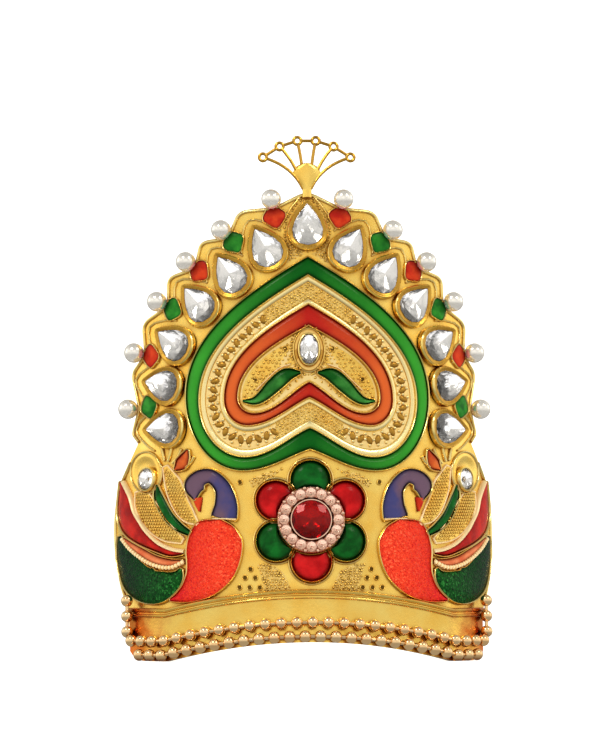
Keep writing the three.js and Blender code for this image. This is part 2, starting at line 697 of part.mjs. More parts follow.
function buildFlower() {
  const middle = seatMatrix({ turn: 0, z: FLOWER_Z }, 90);
  const ruby = steppedStone(ovalOutline(2 * RUBY_RADIUS, 2 * RUBY_RADIUS, RUBY_SIDES), RUBY_LEVELS);
  seated(addMesh("flower_ruby", ruby, rubyRed), middle);

  const section = [
    [HALO.inner, 0], [HALO.outer, 0], [HALO.outer, HALO.height], [HALO.inner, HALO.height], [HALO.inner, 0],
  ];
  const ring = new THREE.LatheGeometry(section.map(([x, y]) => new THREE.Vector2(x, y)), 2 * HALO_STONES);
  const pieces = [ring.rotateX(Math.PI / 2)];
  for (let stone = 0; stone < HALO_STONES; stone += 1) {
    const turn = (2 * Math.PI * stone) / HALO_STONES;
    const { table, foot, height, sides, sunk } = HALO_STONE;
    const cut = new THREE.CylinderGeometry(table, foot, height, sides).rotateX(Math.PI / 2);
    cut.translate(HALO_STONE.ring * Math.cos(turn), HALO_STONE.ring * Math.sin(turn),
      HALO.height - sunk + height / 2);
    pieces.push(cut);
  }
  seated(addMesh("flower_halo", joined(pieces), crystal), middle);

  const clear = HALO.outer + GAP;
  const clearing = new THREE.CylinderGeometry(clear, clear, PETAL_RING, 2 * HALO_STONES);
  const cutter = solidOf(clearing.rotateX(Math.PI / 2).applyMatrix4(middle));
  const round = ovalOutline(2 * PETAL_RADIUS, 2 * PETAL_RADIUS, PETAL_SIDES);
  for (let petal = 0; petal < PETALS; petal += 1) {
    const way = radians(90 - (360 * petal) / PETALS);
    const seat = {
      turn: turnShowing(PETAL_RING * Math.cos(way), 0),
      z: FLOWER_Z + PETAL_RING * Math.sin(way),
    };
    const dome = steppedStone(round, PETAL_LEVELS).applyMatrix4(seatMatrix(seat, 90));
    const trimmed = geometryOf(solidOf(dome).subtract(cutter));
    addMesh(`flower_petal_${petal + 1}`, trimmed, petal % 2 ? red : green);
  }
}

buildPlate();
buildStones();
buildHeart();
buildSides();
buildFlower();

// Bring the middle of the box over the origin
const box = new THREE.Box3().setFromObject(crown);
crown.position.y = -(box.min.y + box.max.y) / 2;

export default crown;
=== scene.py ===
# Looks of the deity crown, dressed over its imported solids.
# Sizes are millimetres and become metres when a mesh is made. Places are given as they show from the
# front, x from the middle line and z above the rim, on the right side. The front faces -Y.

import math

import bmesh
import bpy
import numpy as np
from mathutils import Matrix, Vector
from mathutils.geometry import delaunay_2d_cdt


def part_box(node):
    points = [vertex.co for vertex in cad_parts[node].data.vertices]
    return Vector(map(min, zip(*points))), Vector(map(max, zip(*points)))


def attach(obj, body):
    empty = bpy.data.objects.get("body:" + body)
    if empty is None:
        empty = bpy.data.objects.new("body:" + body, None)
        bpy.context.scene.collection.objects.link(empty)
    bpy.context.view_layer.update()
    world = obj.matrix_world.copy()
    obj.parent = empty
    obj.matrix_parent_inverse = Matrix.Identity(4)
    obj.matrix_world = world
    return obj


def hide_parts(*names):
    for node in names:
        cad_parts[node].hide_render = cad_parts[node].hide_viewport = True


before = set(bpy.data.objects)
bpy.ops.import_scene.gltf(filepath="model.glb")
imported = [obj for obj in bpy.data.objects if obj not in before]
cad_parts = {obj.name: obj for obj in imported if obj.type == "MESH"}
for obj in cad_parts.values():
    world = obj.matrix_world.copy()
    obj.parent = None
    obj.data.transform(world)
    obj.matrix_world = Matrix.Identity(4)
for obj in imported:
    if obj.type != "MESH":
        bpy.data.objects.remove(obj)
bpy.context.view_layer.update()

MM = 0.001
SIDES = ((-1, "left"), (1, "right"))
SEED = 7
chance = np.random.default_rng(SEED)

# Plan: half an oval, which leans back
HALF_WIDTH = 77.0
DEPTH = 66.0
LEAN = math.tan(math.radians(11))
STEEPEST_DEGREES = 89
TURN_STEPS = 3561
SOLVE_STEPS = 40
SHEET = 1.2
FACE_RISE = 1.5
SUNK = 0.15

# Rim and plate outline, up to the notch under the lowest stone
RIM_ARCH = 8.0
RIM_ARCH_HALF = 56.0
RIM_END_X = 69.4
RIM_STEPS = 80
CORNER_ROUND = 6.0
CORNER_STEPS = 8
TAIL_EDGE = ((71.4, 23), (73.2, 30), (74.8, 42), (74.8, 57), (73, 69), (69.6, 78.5))
TAIL_EDGE_STEPS = 24
NOTCH = (66.4, 86)
ARCH_MIDDLE_Z = 120
VALLEY_INSIDE_PEARL = 2.5
PEAK_ROUNDING = 0.3
PEAK_STEPS = 8
EDGE_STEP = 1.2
PLATE_STEP = 1.7
EDGE_INSET = 0.75
EDGE_LINE_STEP = 0.8

# Clear stones down the right side: centre, way of the point, peak of the plate beyond
STONES = (
    # x, z, point, peak x, peak z
    (0, 173.2, 90, 0, 186.5),
    (17.2, 164.2, 61, 27.2, 178.6),
    (31.4, 153.6, 57, 42.2, 166.4),
    (44, 142, 50, 54.8, 152.3),
    (54, 126.2, 39, 64.5, 134),
    (58.4, 109.4, 12, 68.7, 113.8),
    (58, 92, -4, 68.7, 89.4),
)
STONE_WIDTH = 13.4
STONE_LENGTH = 18.0
STONE_FACE_RISE = 2.6
STONE_SHOWING = (0.92, 0.94)
PEAR_CORNERS = 14
TEARDROP_WIDEST = 0.7698
OUTLINE_STEPS = 64
PEAR_COLLAR = (
    # out, up
    (1.5, -SUNK), (1.45, 1.2), (1.25, 1.9), (0.85, 2.3), (0.4, 2.2), (0.1, 1.8), (0.0, 1.3),
    (-0.5, 1.2), (-0.5, -SUNK),
)
# Dark ring between a pear stone and its collar, painted shadow of the collar's inner slope: out, up
PEAR_SHADE_RING = ((1.0, 2.2), (0.9, 2.34), (0.45, 2.3), (0.05, 2.05), (-0.65, 1.95), (-0.65, 1.3), (0.3, 1.3))
FRAME_BEYOND = 3.3
FRAME_REACH = 15
TOP_RING_BEYOND = 2.3

# Cut stones: heights of a stone's levels, and how wide some of them are
PEAR_HEIGHTS = (0.4, 1.3, 1.8, 2.1, 2.55, 2.85)  # keel, belly, wall, girdle, star, table
OVAL_HEIGHTS = (0.3, 1.0, 1.5, 1.8, 2.2, 2.5)
RUBY_HEIGHTS = (0.4, 1.6, 2.6, 3.0, 3.87, 4.5)
CHIP_HEIGHTS = (0.2, 0.7, 1.0, 1.2, 1.5, 1.75)
TABLE_SHARE = 0.55
STAR_SHARE = 0.8
BELLY_SHARE = 0.45
FOIL_SHARE = 0.985
FOIL_GAP = 0.06

# Pearls in the valleys, and the enamel tile inside each one
PEARLS = ((14.4, 183), (34.2, 170.8), (48, 158.2), (59.2, 142.4), (68, 122), (70.4, 99.6))
PEARL_RADIUS = 4.0
PEARL_RISE = 3.6
TILES = (
    # x, z, enamel
    (13.2, 176, "red"),
    (29.6, 166, "green"),
    (43.2, 154.6, "red"),
    (53.8, 139.4, "green"),
    (62.2, 120.8, "red"),
    (63.1, 100.5, "green"),
)
TILE_HALF = 3.7
TILE_SQUARENESS = 0.5
TILE_STEPS = 32
TILE_LEVELS = ((1, 0.7), (0.85, 0.95), (0.5, 1.1), (0.15, 1.15))  # size, rise

# Inverted hearts: the edges of the two enamel bands
HEARTS = {
    # apex, half width, waist, lobe x, lobe, notch
    "green_outer": (159.8, 48.4, 104.5, 26.6, 75.8, 84.4),
    "green_inner": (153.4, 43.8, 103, 25.8, 80.4, 92),
    "red_outer": (141, 33.5, 103.6, 24.8, 93.6, 104.8),
    "red_inner": (133.4, 28.7, 104.2, 22, 97.8, 110.2),
}
HEART_STEPS = 28
SHOULDER = {"across": 0.466, "down": 0.2375, "up": 0.463}
LOBE = {"down": 0.57, "out": 0.57, "inward": 0.38, "cusp": 0.3, "rise": 0.72}

# Between the hearts, as shares of the way from the green band to the red one
BORDER_SHARES = ((0.06, 0.24), (0.95, 0.81))
ROW_SHARES = (0.27, 0.77)
MARK_SHARE = 0.53
BEAD_SHARES = (0.36, 0.53, 0.7)
GRANULE_SHARES = (0.32, 0.425, 0.53, 0.635, 0.74)
MARK_PITCH = 3.6
MARK_SIZE = (1.3, 2.1, 0.6)
MARK_TILT = 0.45
HEART_BEAD = 0.75
APEX_ZONE = {"half": 17.0, "above": 126.5}
NOTCH_ZONE = {"half": 13.0, "below": 107.0}

# Blades on the right side: a look, and rows along a middle line, x, z and half width
BLADES = {
    "leaf": (
        "leaf_fade", (3.6, 114.2, 0.3), (9, 113.2, 2.4), (14, 109.2, 2.6), (18.6, 104.8, 1.9),
        (22, 102.9, 1.2), (26.2, 102.9, 0.2)),
    "peacock_neck": (
        "blue", (34.2, 56.8, 4.9), (33.4, 62, 4.2), (34.6, 68.5, 3), (39, 73, 2.5), (43.6, 72.2, 3),
        (45.8, 68.6, 3.6), (45.4, 64, 0.4)),
    "peacock_body": (
        "glitter_red", (35.9, 55.9, 0.6), (36.3, 54, 6.2), (37.2, 50.4, 9.4), (38.1, 44.6, 10.4),
        (39.6, 38, 9.6), (42.8, 32.2, 7.2), (47.2, 28, 4.3), (51.4, 25.6, 2), (55.2, 24.2, 0.2)),
    "peacock_wing": (
        "glitter_green", (74, 48.6, 0.8), (73, 43.4, 2.5), (70.6, 37.4, 4.5), (66.8, 31.5, 6.6),
        (61.4, 29.4, 6.6), (56, 31, 4.5), (52.6, 33.4, 2.4), (51, 36.4, 0.4)),
    "peacock_tail": (
        "tail_red", (73.4, 70.4, 0.6), (72.4, 64, 2.3), (71.8, 58, 3.2), (69.8, 52.8, 3.8),
        (66, 48.8, 2.9), (60.6, 45.2, 1.7), (55, 43, 1.3), (49.8, 43, 0.4)),
    "peacock_lining": (
        "salmon", (72.6, 48, 0.4), (69.4, 45, 1.2), (65.4, 42.2, 1.7), (60.8, 39.7, 1.8),
        (55.4, 38.6, 1.6), (50.4, 39.6, 0.4)),
    "peacock_crest": (
        "crest", (48, 83.4, 0.3), (49.2, 80.6, 1.7), (50.8, 77.8, 2.2), (53, 75.6, 0.3)),
    "peacock_plume": (
        "leaf_green", (59.9, 69.4, 0.3), (59.3, 64.6, 1.7), (55.9, 57.6, 1.9), (51.8, 53.2, 1.6),
        (47.6, 50.6, 0.9)),
}
BLADE_STEPS = 40
BLADE_LEAST_HALF = 0.12
BEAK = ((44.7, 64.6, 1.9), (44.4, 62, 1.3), (43.9, 59.2, 0.2))
FEATHERS = (
    ((57, 77, 1), (54, 70, 3.2), (51.6, 63, 3.4), (48.4, 57.6, 2.8), (44.8, 54.4, 0.6)),
    ((66.4, 67.2, 2.2), (64.6, 61.4, 4.1), (61.2, 55.6, 4.6), (56.8, 50.9, 3.6), (50.6, 47.6, 1.2)),
)
FEATHER_EDGE = 0.8
FEATHER_PITCH = 1.35
FEATHER_BEAD = 0.55
FEATHER_RISE = 0.6
ROPE_PITCH = 1.6
ROPE_BEAD = 0.9
ROPE_RISE = 1.4
CREST_LINES = (
    ((45.8, 81), (47, 78.8), (49, 76.6)),
    ((50.8, 84), (52, 81), (54.2, 78.2)),
    ((54.6, 84.4), (55.2, 81.6), (56, 79)),
    ((58.2, 84), (57.8, 81.6), (57.4, 79.2)),
)
NECK_LINE = ((29.4, 56.2), (34, 56.5), (38.6, 56.4))
LEAF_LINE = ((7.4, 117.6), (12.4, 115.6), (17, 111.4), (21.4, 107.2))

# Small oval stones, in the heart and in each peacock's tail, and the raised ovals round them
HEART_STONE = (0, 123.4, 8.4, 12.8)  # x, z, width, height
EYE_STONE = (63.7, 71.8, 9.2, 9.2)
OVAL_CORNERS = 16
OVAL_INSET = 0.6
OVAL_COLLAR = (
    # out, up
    (1.2, -SUNK), (1.1, 1.2), (0.8, 1.9), (0.4, 2.1), (0.1, 1.75), (0.03, 1.4), (0.03, -SUNK),
)
OVAL_COLLAR_STEPS = 48
EYE_OVAL = (64.2, 74.4, 5.9, 8.2)  # x, z, half width, half height
HEART_OVAL = (0, 123.2, 6.2, 8.6)
GRANULE_OVAL = (0, 123.2, 7.3, 9.8)
OVAL_STEPS = 60
EYE_LEVELS = ((1, 0.5), (0.9, 0.8), (0.75, 0.8), (0.6, 0.1), (0.3, 0.05))  # size, rise

# Flower under the heart
FLOWER_Z = 55.7
PETALS = 6
PETAL_RING = 16.0
PETAL_RADIUS = 7.5
PETAL_STEPS = 48
PETAL_LINE_BEYOND = 1.4
PETAL_LEVELS = ((1, 0.3), (0.94, 0.8), (0.8, 1.5), (0.55, 2.1), (0.25, 2.3))  # size, rise
RUBY_RADIUS = 7.9
RUBY_CORNERS = 16
RUBY_COLLAR = (
    # out, up
    (0.45, -SUNK), (0.45, 2.9), (0.25, 3.2), (-0.1, 3.2), (0.05, 3.0), (0.05, -SUNK),
)
HALO_OUTER = 13.4
HALO_SECTION = (
    # out from the outer edge, up
    (0, -SUNK), (0, 2.1), (-0.4, 2.6), (-1.0, 2.3), (-4.2, 2.3), (-4.5, 2.6), (-4.7, -SUNK),
)
HALO_STONES = 16
HALO_RING = 10.8
CHIP_RADIUS = 2.1
CHIP_CORNERS = 12
CHIP_RISE = 2.0
CHIP_FOOT = -0.1
PRONG_RING = 12.7
PRONG_RADIUS = 0.8
PRONG_RISE = 2.7

# Band and ball chains
BAND_SECTION = (
    # up, rise
    (20.8, -SUNK), (20.8, 1.5), (20.5, 2.2), (19.9, 2.5), (19.3, 2.2), (19, 1.7), (18.6, 1.7),
    (18.3, 2.1), (17.9, 2.25), (17.5, 2.1), (17.2, 1.6), (16.8, 1.5), (0, 1.5), (0, -SUNK),
)
BAND_END_DEGREES = 63.6
BAND_STEPS = 120
BALL_RADIUS = 2.4
BALL_PITCH = 6.2
CHAIN_RISE = 4.1
CHAIN_LINK_RADIUS = 0.7
CHAIN_STEPS = 400
COLUMN_STEPS = 20
CHAINS = {
    # up, end in degrees, top of the column at each end
    "ball_chain_lower": (2.45, 56, None),
    "ball_chain_upper": (7.9, 62, 23.6),
}

# Finial: a pierced fan on the top peak
FINIAL_FOOT_Z = 183.4
FINIAL_THICKNESS = 2.0
FAN_MIDDLE_UP = 4.6
RIBS = (
    # lean, reach, root x, root up, knee x, knee up
    (11.2, 18.8, 1.8, 11.4, 2.4, 17),
    (33.6, 19.4, 3.6, 9.6, 6, 15.4),
    (56, 21, 1.6, 3.6, 5.6, 12.4),
)
RIB_RADIUS = 0.65
RIB_STEPS = 12
BAR_POINTS = 3
EYELET_RADIUS = 1.5
EYELET_STEPS = 20
BUD = ((0, 2), (3, 1.8), (5, 2.7), (7.4, 4.4), (9.6, 5.4), (11.6, 5), (13, 3.6), (13.8, 1.6))
BUD_STEPS = 24
BUD_SECTION = (
    # share of the way across, out
    (0, -0.9), (0, 0.1), (0.12, 0.8), (0.3, 1.35), (0.5, 1.55), (0.7, 1.35), (0.88, 0.8), (1, 0.1),
    (1, -0.9),
)

# Punched dots, each a low dark disc painted as the shade of a hole, and the patches of fine granules
DOTS = (
    (9.5, 123.6), (21.6, 111.4), (28, 70.8),
    (24.2, 36.6), (22.4, 33.2), (26.4, 33.2), (20.6, 29.4), (24.6, 29.4), (28.6, 29.4),
)
DOT_RADIUS = 0.95
DOT_STEPS = 20
DOT_LEVELS = ((1, 0.12), (0.3, 0.14))  # size, rise
GRANULE_RADIUS = 0.5
GRANULE_SIZES = (0.75, 1.25)
GRANULE_STRAY = 0.15
GRANULE_PITCH = 1.25
FIELD_PITCH = 1.7
FIELD_INSET = 1.2
PATCHES = (
    ((7.6, 25.2), (18.4, 25.2), (19, 30), (20.4, 34.5), (21.6, 38.6), (18.4, 38.8), (14.2, 37.4),
     (11.2, 35.2), (9.4, 32)),
    ((10.4, 76.4), (18.6, 74.4), (24.6, 71.6), (23.4, 68.4), (19.6, 71.4), (14.2, 73.8)),
    ((1.6, 161.2), (8.2, 157.6), (10, 158.8), (8.4, 162.2), (8.2, 165.8), (6, 163.4)),
)
STIPPLE_LEVELS = ((1, 0.06), (0.4, 0.08))  # size, rise

# Sections of strips, from one edge to the other: share of the way across, rise
FILL_SECTION = ((0, 0.4), (0.12, 0.95), (0.3, 1.35), (0.5, 1.45), (0.7, 1.35), (0.88, 0.95), (1, 0.4))
BORDER_SECTION = ((0, 0.55), (0.2, 0.7), (0.8, 0.6), (1, 0.3))
ROW_SECTION = ((0, 0.08), (1, 0.08))
ZONE_SECTION = ((0, 0.16), (1, 0.16))
ROUND_TOP_POINTS = 7
ROUND_TOP = [(0.5 - 0.5 * math.cos(a), math.sin(a)) for a in np.linspace(0, math.pi, ROUND_TOP_POINTS)]
LINES = {
    # width, height
    "edge": (1.4, 0.9),
    "frame": (0.9, 0.7),
    "cell": (0.9, 1.5),
    "tile": (0.8, 1.1),
    "petal": (0.8, 2.0),
    "petal_outer": (1.0, 0.8),
    "oval": (1.0, 1.2),
    "feather": (0.9, 1.0),
    "tail": (1.8, 2.0),
    "lining": (1.8, 1.7),
    "neck": (1.0, 1.6),
    "leaf": (0.6, 0.6),
    "crest": (1.5, 1.1),
    "dot": (0.5, 0.5),
}
LINE_BEYOND = 0.4

# How finely round things are made, and edges sharper than this stay sharp
TUBE_SIDES = 8
BALL_SIDES = {
    # sides, bands
    "granule": (8, 5),
    "bead": (10, 6),
    "chain": (16, 10),
    "pearl": (28, 16),
    "backdrop": (32, 16),
}
CREASE_DEGREES = 40
FACETED = 0
ALL_ROUND = 180

# Camera, from the photo's own angle
SCALE = 0.4
VIEW_AZIMUTH_DEGREES = -3.5
VIEW_DISTANCE = 4000.0
VIEW_Z = 113.2
VIEW_ASIDE = 0.92
SENSOR = 36.0
FRAME_TALL = 750
FARTHEST = 100.0

# Studio, in metres: pale paper under the crown, a white backdrop all round, soft lights
PAPER_RADIUS = 1.5
PAPER_SIDES = 64
BACKDROP_RADIUS = 5.0
LAMP_WARMTH = (1.0, 0.94, 0.82)
LAMP_AIM = (0, 0, 0.1)
LAMPS = (
    # name, place, width, height, watts
    ("front", (-0.3, -2.4, 1.1), 2.2, 1.2, 1.6),
    ("key", (-1.1, -1.2, 2.0), 0.5, 0.5, 10),
    ("fill", (1.2, -1.0, 1.7), 0.5, 0.5, 6),
    ("front_left", (-2.1, -1.1, 1.0), 1.4, 1.0, 1.2),
    ("front_right", (2.1, -1.1, 1.0), 1.4, 1.0, 1.2),
    ("back", (0.5, 2.3, 1.0), 1.4, 1.0, 3),
    ("left", (-2.2, 0.5, 0.7), 1.4, 1.2, 3),
    ("right", (2.2, 0.5, 0.7), 1.4, 1.2, 3),
)
SKY_FRONT = (0.8, 0.77, 0.68)
SKY_BEHIND = (0.42, 0.4, 0.35)
BEHIND = (0.55, 0.95)
OVERHEAD = (0.5, 0.85, 1.0, 0.6)  # from and to this height, sky strength from and to
BELOW = (-0.3, 0.0, 0.5, 1.0)

# Looks; colours that several share come first
PALE = (1.0, 0.83, 0.39)
BRIGHT = (1.0, 0.75, 0.21)
WARM = (0.97, 0.57, 0.095)
CREVICE_PATINA_AND_SHADE_BROWN = (0.42, 0.17, 0.02)
DARK_CREVICE_PATINA_AND_SHADE_BROWN = (0.24, 0.09, 0.012)
WHITE = (1.0, 1.0, 1.0)
PAPER_DARK = (0.9, 0.9, 0.9)
PAPER_LIGHT = (0.93, 0.93, 0.93)
GILTS = {
    # bright, warm, crevice colour (brown patina and painted shade), roughness, grains to a metre, grain,
    # metallic
    "ground": (BRIGHT, WARM, CREVICE_PATINA_AND_SHADE_BROWN, (0.2, 0.34), 1500, 0.14, 1),
    "polished": (PALE, BRIGHT, CREVICE_PATINA_AND_SHADE_BROWN, (0.14, 0.26), 700, 0.05, 1),
    "pale": ((1.0, 0.86, 0.46), PALE, WARM, (0.2, 0.34), 700, 0.08, 1),
    "cream": ((1.0, 0.84, 0.52), (1.0, 0.74, 0.38), (0.95, 0.55, 0.2), (0.3, 0.45), 700, 0.1, 0.3),
    "stipple": ((1.0, 0.74, 0.26), (0.9, 0.56, 0.13), DARK_CREVICE_PATINA_AND_SHADE_BROWN, (0.3, 0.5), 1100, 0.5, 1),
    "grains": (BRIGHT, WARM, DARK_CREVICE_PATINA_AND_SHADE_BROWN, (0.16, 0.28), 900, 0.08, 1),
    "antique": ((0.72, 0.42, 0.07), (0.5, 0.26, 0.04), DARK_CREVICE_PATINA_AND_SHADE_BROWN, (0.2, 0.4), 900, 0.1, 1),
    # Dark brown marks of the heart row are painted shade of recesses between its beads
    "recess_shade_mark": ((0.55, 0.3, 0.05), (0.36, 0.18, 0.03), DARK_CREVICE_PATINA_AND_SHADE_BROWN, (0.2, 0.4), 900, 0.1, 1),
    "row": ((1.0, 0.82, 0.42), (1.0, 0.7, 0.26), WARM, (0.28, 0.45), 1100, 0.4, 1),
    "rose": ((1.0, 0.72, 0.58), (0.9, 0.54, 0.4), (0.5, 0.16, 0.1), (0.2, 0.36), 900, 0.2, 1),
    "band": (BRIGHT, WARM, CREVICE_PATINA_AND_SHADE_BROWN, (0.16, 0.28), 900, 0.16, 1),
    "balls": ((1.0, 0.76, 0.45), (1.0, 0.62, 0.3), (0.36, 0.13, 0.04), (0.1, 0.2), 800, 0.05, 1),
    # Near-black pit colour is painted shade for the punched dots' holes
    "pit_shade": ((0.2, 0.11, 0.02), (0.12, 0.06, 0.01), (0.05, 0.02, 0.004), (0.35, 0.6), 900, 0.2, 1),
}
ENAMELS = {
    # slot, light, dark, clouds to a metre, x where the dark ends and where the light begins
    "ring_green": ("enamel_green", (0.035, 0.3, 0.025), (0.001, 0.085, 0.006), 60, (4, 46)),
    "ring_red": ("enamel_red", (0.62, 0.11, 0.022), (0.4, 0.012, 0.008), 60, (3, 30)),
    "leaf_green": ("enamel_green", (0.004, 0.12, 0.014), (0.001, 0.045, 0.005), 200),
    "leaf_fade": ("enamel_green", (0.06, 0.3, 0.05), (0.002, 0.07, 0.006), 200, (7, 25)),
    "tile_green": ("enamel_green", (0.03, 0.26, 0.025), (0.004, 0.1, 0.01), 200),
    "tile_red": ("enamel_red", (0.62, 0.05, 0.012), (0.42, 0.012, 0.006), 200),
    "petal_red": ("enamel_red", (0.58, 0.01, 0.012), (0.32, 0.002, 0.004), 160),
    "tail_red": ("enamel_red", (0.52, 0.01, 0.005), (0.26, 0.002, 0.002), 160),
    "crest": ("enamel_red", (0.62, 0.13, 0.025), (0.4, 0.03, 0.008), 160),
    "salmon": ("enamel_red", (0.8, 0.25, 0.1), (0.66, 0.12, 0.04), 160),
    "blue": ("enamel_blue", (0.13, 0.075, 0.12), (0.05, 0.05, 0.17), 80, (31, 39)),
}
GLITTERS = {
    # slot, light, middle, dark, flakes to a metre
    "glitter_red": ("enamel_red", (1.0, 0.13, 0.055), (0.84, 0.05, 0.018), (0.62, 0.012, 0.01), 1800),
    "glitter_green": ("enamel_green", (0.035, 0.28, 0.045), (0.003, 0.07, 0.008), (0.001, 0.018, 0.004),
                      1300),
}
SIDE_SHADE_TINTS = {
    # painted shade towards the sides, where the crown turns from the light: colour that takes over further
    # out, x where it begins, x where it is full
    "band": ((0.66, 0.17, 0.02), 55, 67),
    "glitter_red": ((0.6, 0.006, 0.016), 40, 58),
    "glitter_green": ((0.0005, 0.016, 0.006), 54, 76),
}
CUT_STONES = {
    # slot, colour, roughness, colour of the shine
    "crystal": ("crystal", (0.98, 0.98, 1.0), 0.0, WHITE),
    "blush_crystal": ("crystal", (1.0, 0.81, 0.72), 0.0, WHITE),
    "ruby": ("ruby", (0.52, 0.002, 0.01), 0.03, (1.0, 0.4, 0.42)),
}
CLOUDY = {
    # slot, dark, light, clouds to a metre, detail, roughness, bump
    "silver_foil": (None, (0.93, 0.93, 0.95), (1.0, 1.0, 0.99), 400, 3, (0.12, 0.22), 0.03),
    "pearl_lustre": ("pearl", (0.9, 0.88, 0.88), (1.0, 0.98, 0.96), 260, 3, None, 0.05),
    "pale_paper": (None, PAPER_DARK, PAPER_LIGHT, 3, 2),
    "white_backdrop": (None, PAPER_DARK, PAPER_LIGHT, 3, 2),
}
GLOSS = {
    # what is the same all over a surface
    "enamel": {"Coat Weight": 0.2, "Coat Roughness": 0.04, "Coat IOR": 1.25, "Specular IOR Level": 0.06},
    "glitter": {"Coat Weight": 0.03, "Coat Roughness": 0.1, "Specular IOR Level": 0.06},
    "silver_foil": {"Metallic": 0.8},
    "pearl_lustre": {"Metallic": 0.8, "Roughness": 0.2, "Coat Weight": 0.2, "Coat Roughness": 0.05},
    "pale_paper": {"Roughness": 0.9, "Emission Color": (1, 1, 1, 1), "Emission Strength": 0.8},
    "white_backdrop": {"Roughness": 0.9, "Emission Color": (1, 1, 1, 1), "Emission Strength": 1.1},
}
GLASS_INDEX = 1.5
GLASS_NOISE = (60, 2)  # clouds to a metre, detail
GILT_NOISE = (110, 5)
GRAIN_DETAIL = 3
ENAMEL_DETAIL = 4
ENAMEL_ROUGH = (0.3, 0.18)
FLAKE_ROUGH = (0.25, 0.5)
FLAKE_METAL = (0.0, 0.6)
FLAKE_STOPS = (0.0, 0.3, 0.75, 0.95)
MIRROR_FLAKES = (0.5, 1.0)
ENAMEL_EDGE_SHADE_SHARE = 0.35
GLASS_DARK_SHARE = 0.93
MOST_NOISE = (0.3, 0.7)
GILT_CLOUDS = (0.25, 0.75)
ENAMEL_CLOUDS = (0.36, 0.64)
# Ambient occlusion paints shade: gilt darkens towards its crevice colour, enamel towards a dark edge
GILT_CREVICE_SHADE = (0.0022, 0.25, 0.9)  # reach in metres, openness of the darkest and of clear places
ENAMEL_EDGE_SHADE = (0.004, 0.45, 0.98)
SHADE_OPENNESS_SAMPLES = 6
TINT_DRIFT = 0.006
GRAIN_DEPTH = 0.0004
ENAMEL_BUMP = (0.25, 0.0005)  # strength, metres
FLAKE_BUMP = (0.5, 0.0006)
FINE_DEPTH = 0.0003

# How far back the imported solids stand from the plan's own axis
SHIFT_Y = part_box("plate")[0].y / MM + DEPTH - LEAN * RIM_ARCH


# Surface of the crown

def unit(rows):
    return rows / np.linalg.norm(rows, axis=-1, keepdims=True)


def way_out(turn):
    return unit(np.stack([np.sin(turn) / HALF_WIDTH, -np.cos(turn) / DEPTH, 0 * turn], axis=-1))


def facing(turn):
    out = way_out(turn)
    out[..., 2] = -LEAN * out[..., 1]
    return unit(out)


def on_crown(turn, z, rise):
    flat = np.stack([HALF_WIDTH * np.sin(turn), LEAN * z - DEPTH * np.cos(turn) + SHIFT_Y, z], axis=-1)
    return flat + way_out(turn) * np.broadcast_to(rise, np.shape(turn))[..., None]


TURNS = np.radians(np.linspace(-STEEPEST_DEGREES, STEEPEST_DEGREES, TURN_STEPS))
GIRTH_STEPS = np.hypot(HALF_WIDTH * np.cos(TURNS), DEPTH * np.sin(TURNS)) * np.gradient(TURNS)
GIRTH = np.cumsum(GIRTH_STEPS) - np.sum(GIRTH_STEPS) / 2


def turn_showing(x, rise):
    return np.interp(x, HALF_WIDTH * np.sin(TURNS) + rise * way_out(TURNS)[:, 0], TURNS)


# Flat sheet: girth and height, unrolled from places as they show from the front
def unrolled(places, rise=FACE_RISE):
    places = np.asarray(places, float)
    girth = np.interp(turn_showing(places[..., 0], rise), TURNS, GIRTH)
    return np.stack([girth, places[..., 1]], axis=-1)


def raised(sheet, rise):
    return on_crown(np.interp(sheet[..., 0], GIRTH, TURNS), sheet[..., 1], rise)


# Axes and foot of a stone whose face shows at x and z, its own y along the point
def seat(x, z, rise, point=90.0):
    turn = turn_showing(x, 0)
    for _ in range(SOLVE_STEPS):
        turn = turn_showing(x - rise * facing(turn)[0], 0)
    out = facing(turn)
    across, up = math.cos(math.radians(point)), math.sin(math.radians(point))
    along = unit(np.array([across, -(out[0] * across + out[2] * up) / out[1], up]))
    axes = np.stack([np.cross(along, out), along, out])
    return axes, on_crown(turn, z - rise * out[2], 0)


def rim_height(x):
    return RIM_ARCH * np.maximum(0, 1 - (x / RIM_ARCH_HALF) ** 2)


# How far a rounded rim corner rises at a place across
def corner_lift(x):
    past = np.clip(np.abs(x) - RIM_END_X + CORNER_ROUND, 0, CORNER_ROUND)
    return CORNER_ROUND - np.sqrt(CORNER_ROUND ** 2 - past ** 2)


# Curves

def smooth_through(rows, steps):
    rows = np.asarray(rows, float)
    ends = np.vstack([2 * rows[0] - rows[1], rows, 2 * rows[-1] - rows[-2]])
    at = np.linspace(0, len(rows) - 1, steps + 1)
    cell = np.minimum(at.astype(int), len(rows) - 2)
    share = (at - cell)[:, None]
    a, b, c, d = (ends[cell + k] for k in range(4))
    return b + 0.5 * share * (c - a + share * (2 * a - 5 * b + 4 * c - d + share * (3 * (b - c) + d - a)))


def bezier(a, b, c, d, steps):
    share = np.linspace(0, 1, steps + 1)[:, None]
    rest = 1 - share
    a, b, c, d = (np.asarray(p, float) for p in (a, b, c, d))
    return rest ** 3 * a + 3 * rest ** 2 * share * b + 3 * rest * share ** 2 * c + share ** 3 * d


# Bend from one place to another, drawn towards a corner
def bend(start, corner, end, steps):
    return bezier(start, (start + 2 * corner) / 3, (end + 2 * corner) / 3, end, steps)


def evenly(path, pitch, closed=False):
    path = np.vstack([path, path[:1]]) if closed else path
    reach = np.concatenate([[0], np.cumsum(np.linalg.norm(np.diff(path, axis=0), axis=1))])
    count = max(2, round(reach[-1] / pitch))
    at = np.linspace(0, reach[-1], count + 1)
    spaced = np.stack([np.interp(at, reach, path[:, k]) for k in range(path.shape[1])], axis=1)
    return spaced[:-1] if closed else spaced


def mirrored(rows, side):
    rows = np.array(rows, float)
    rows[:, 0] *= side
    return rows


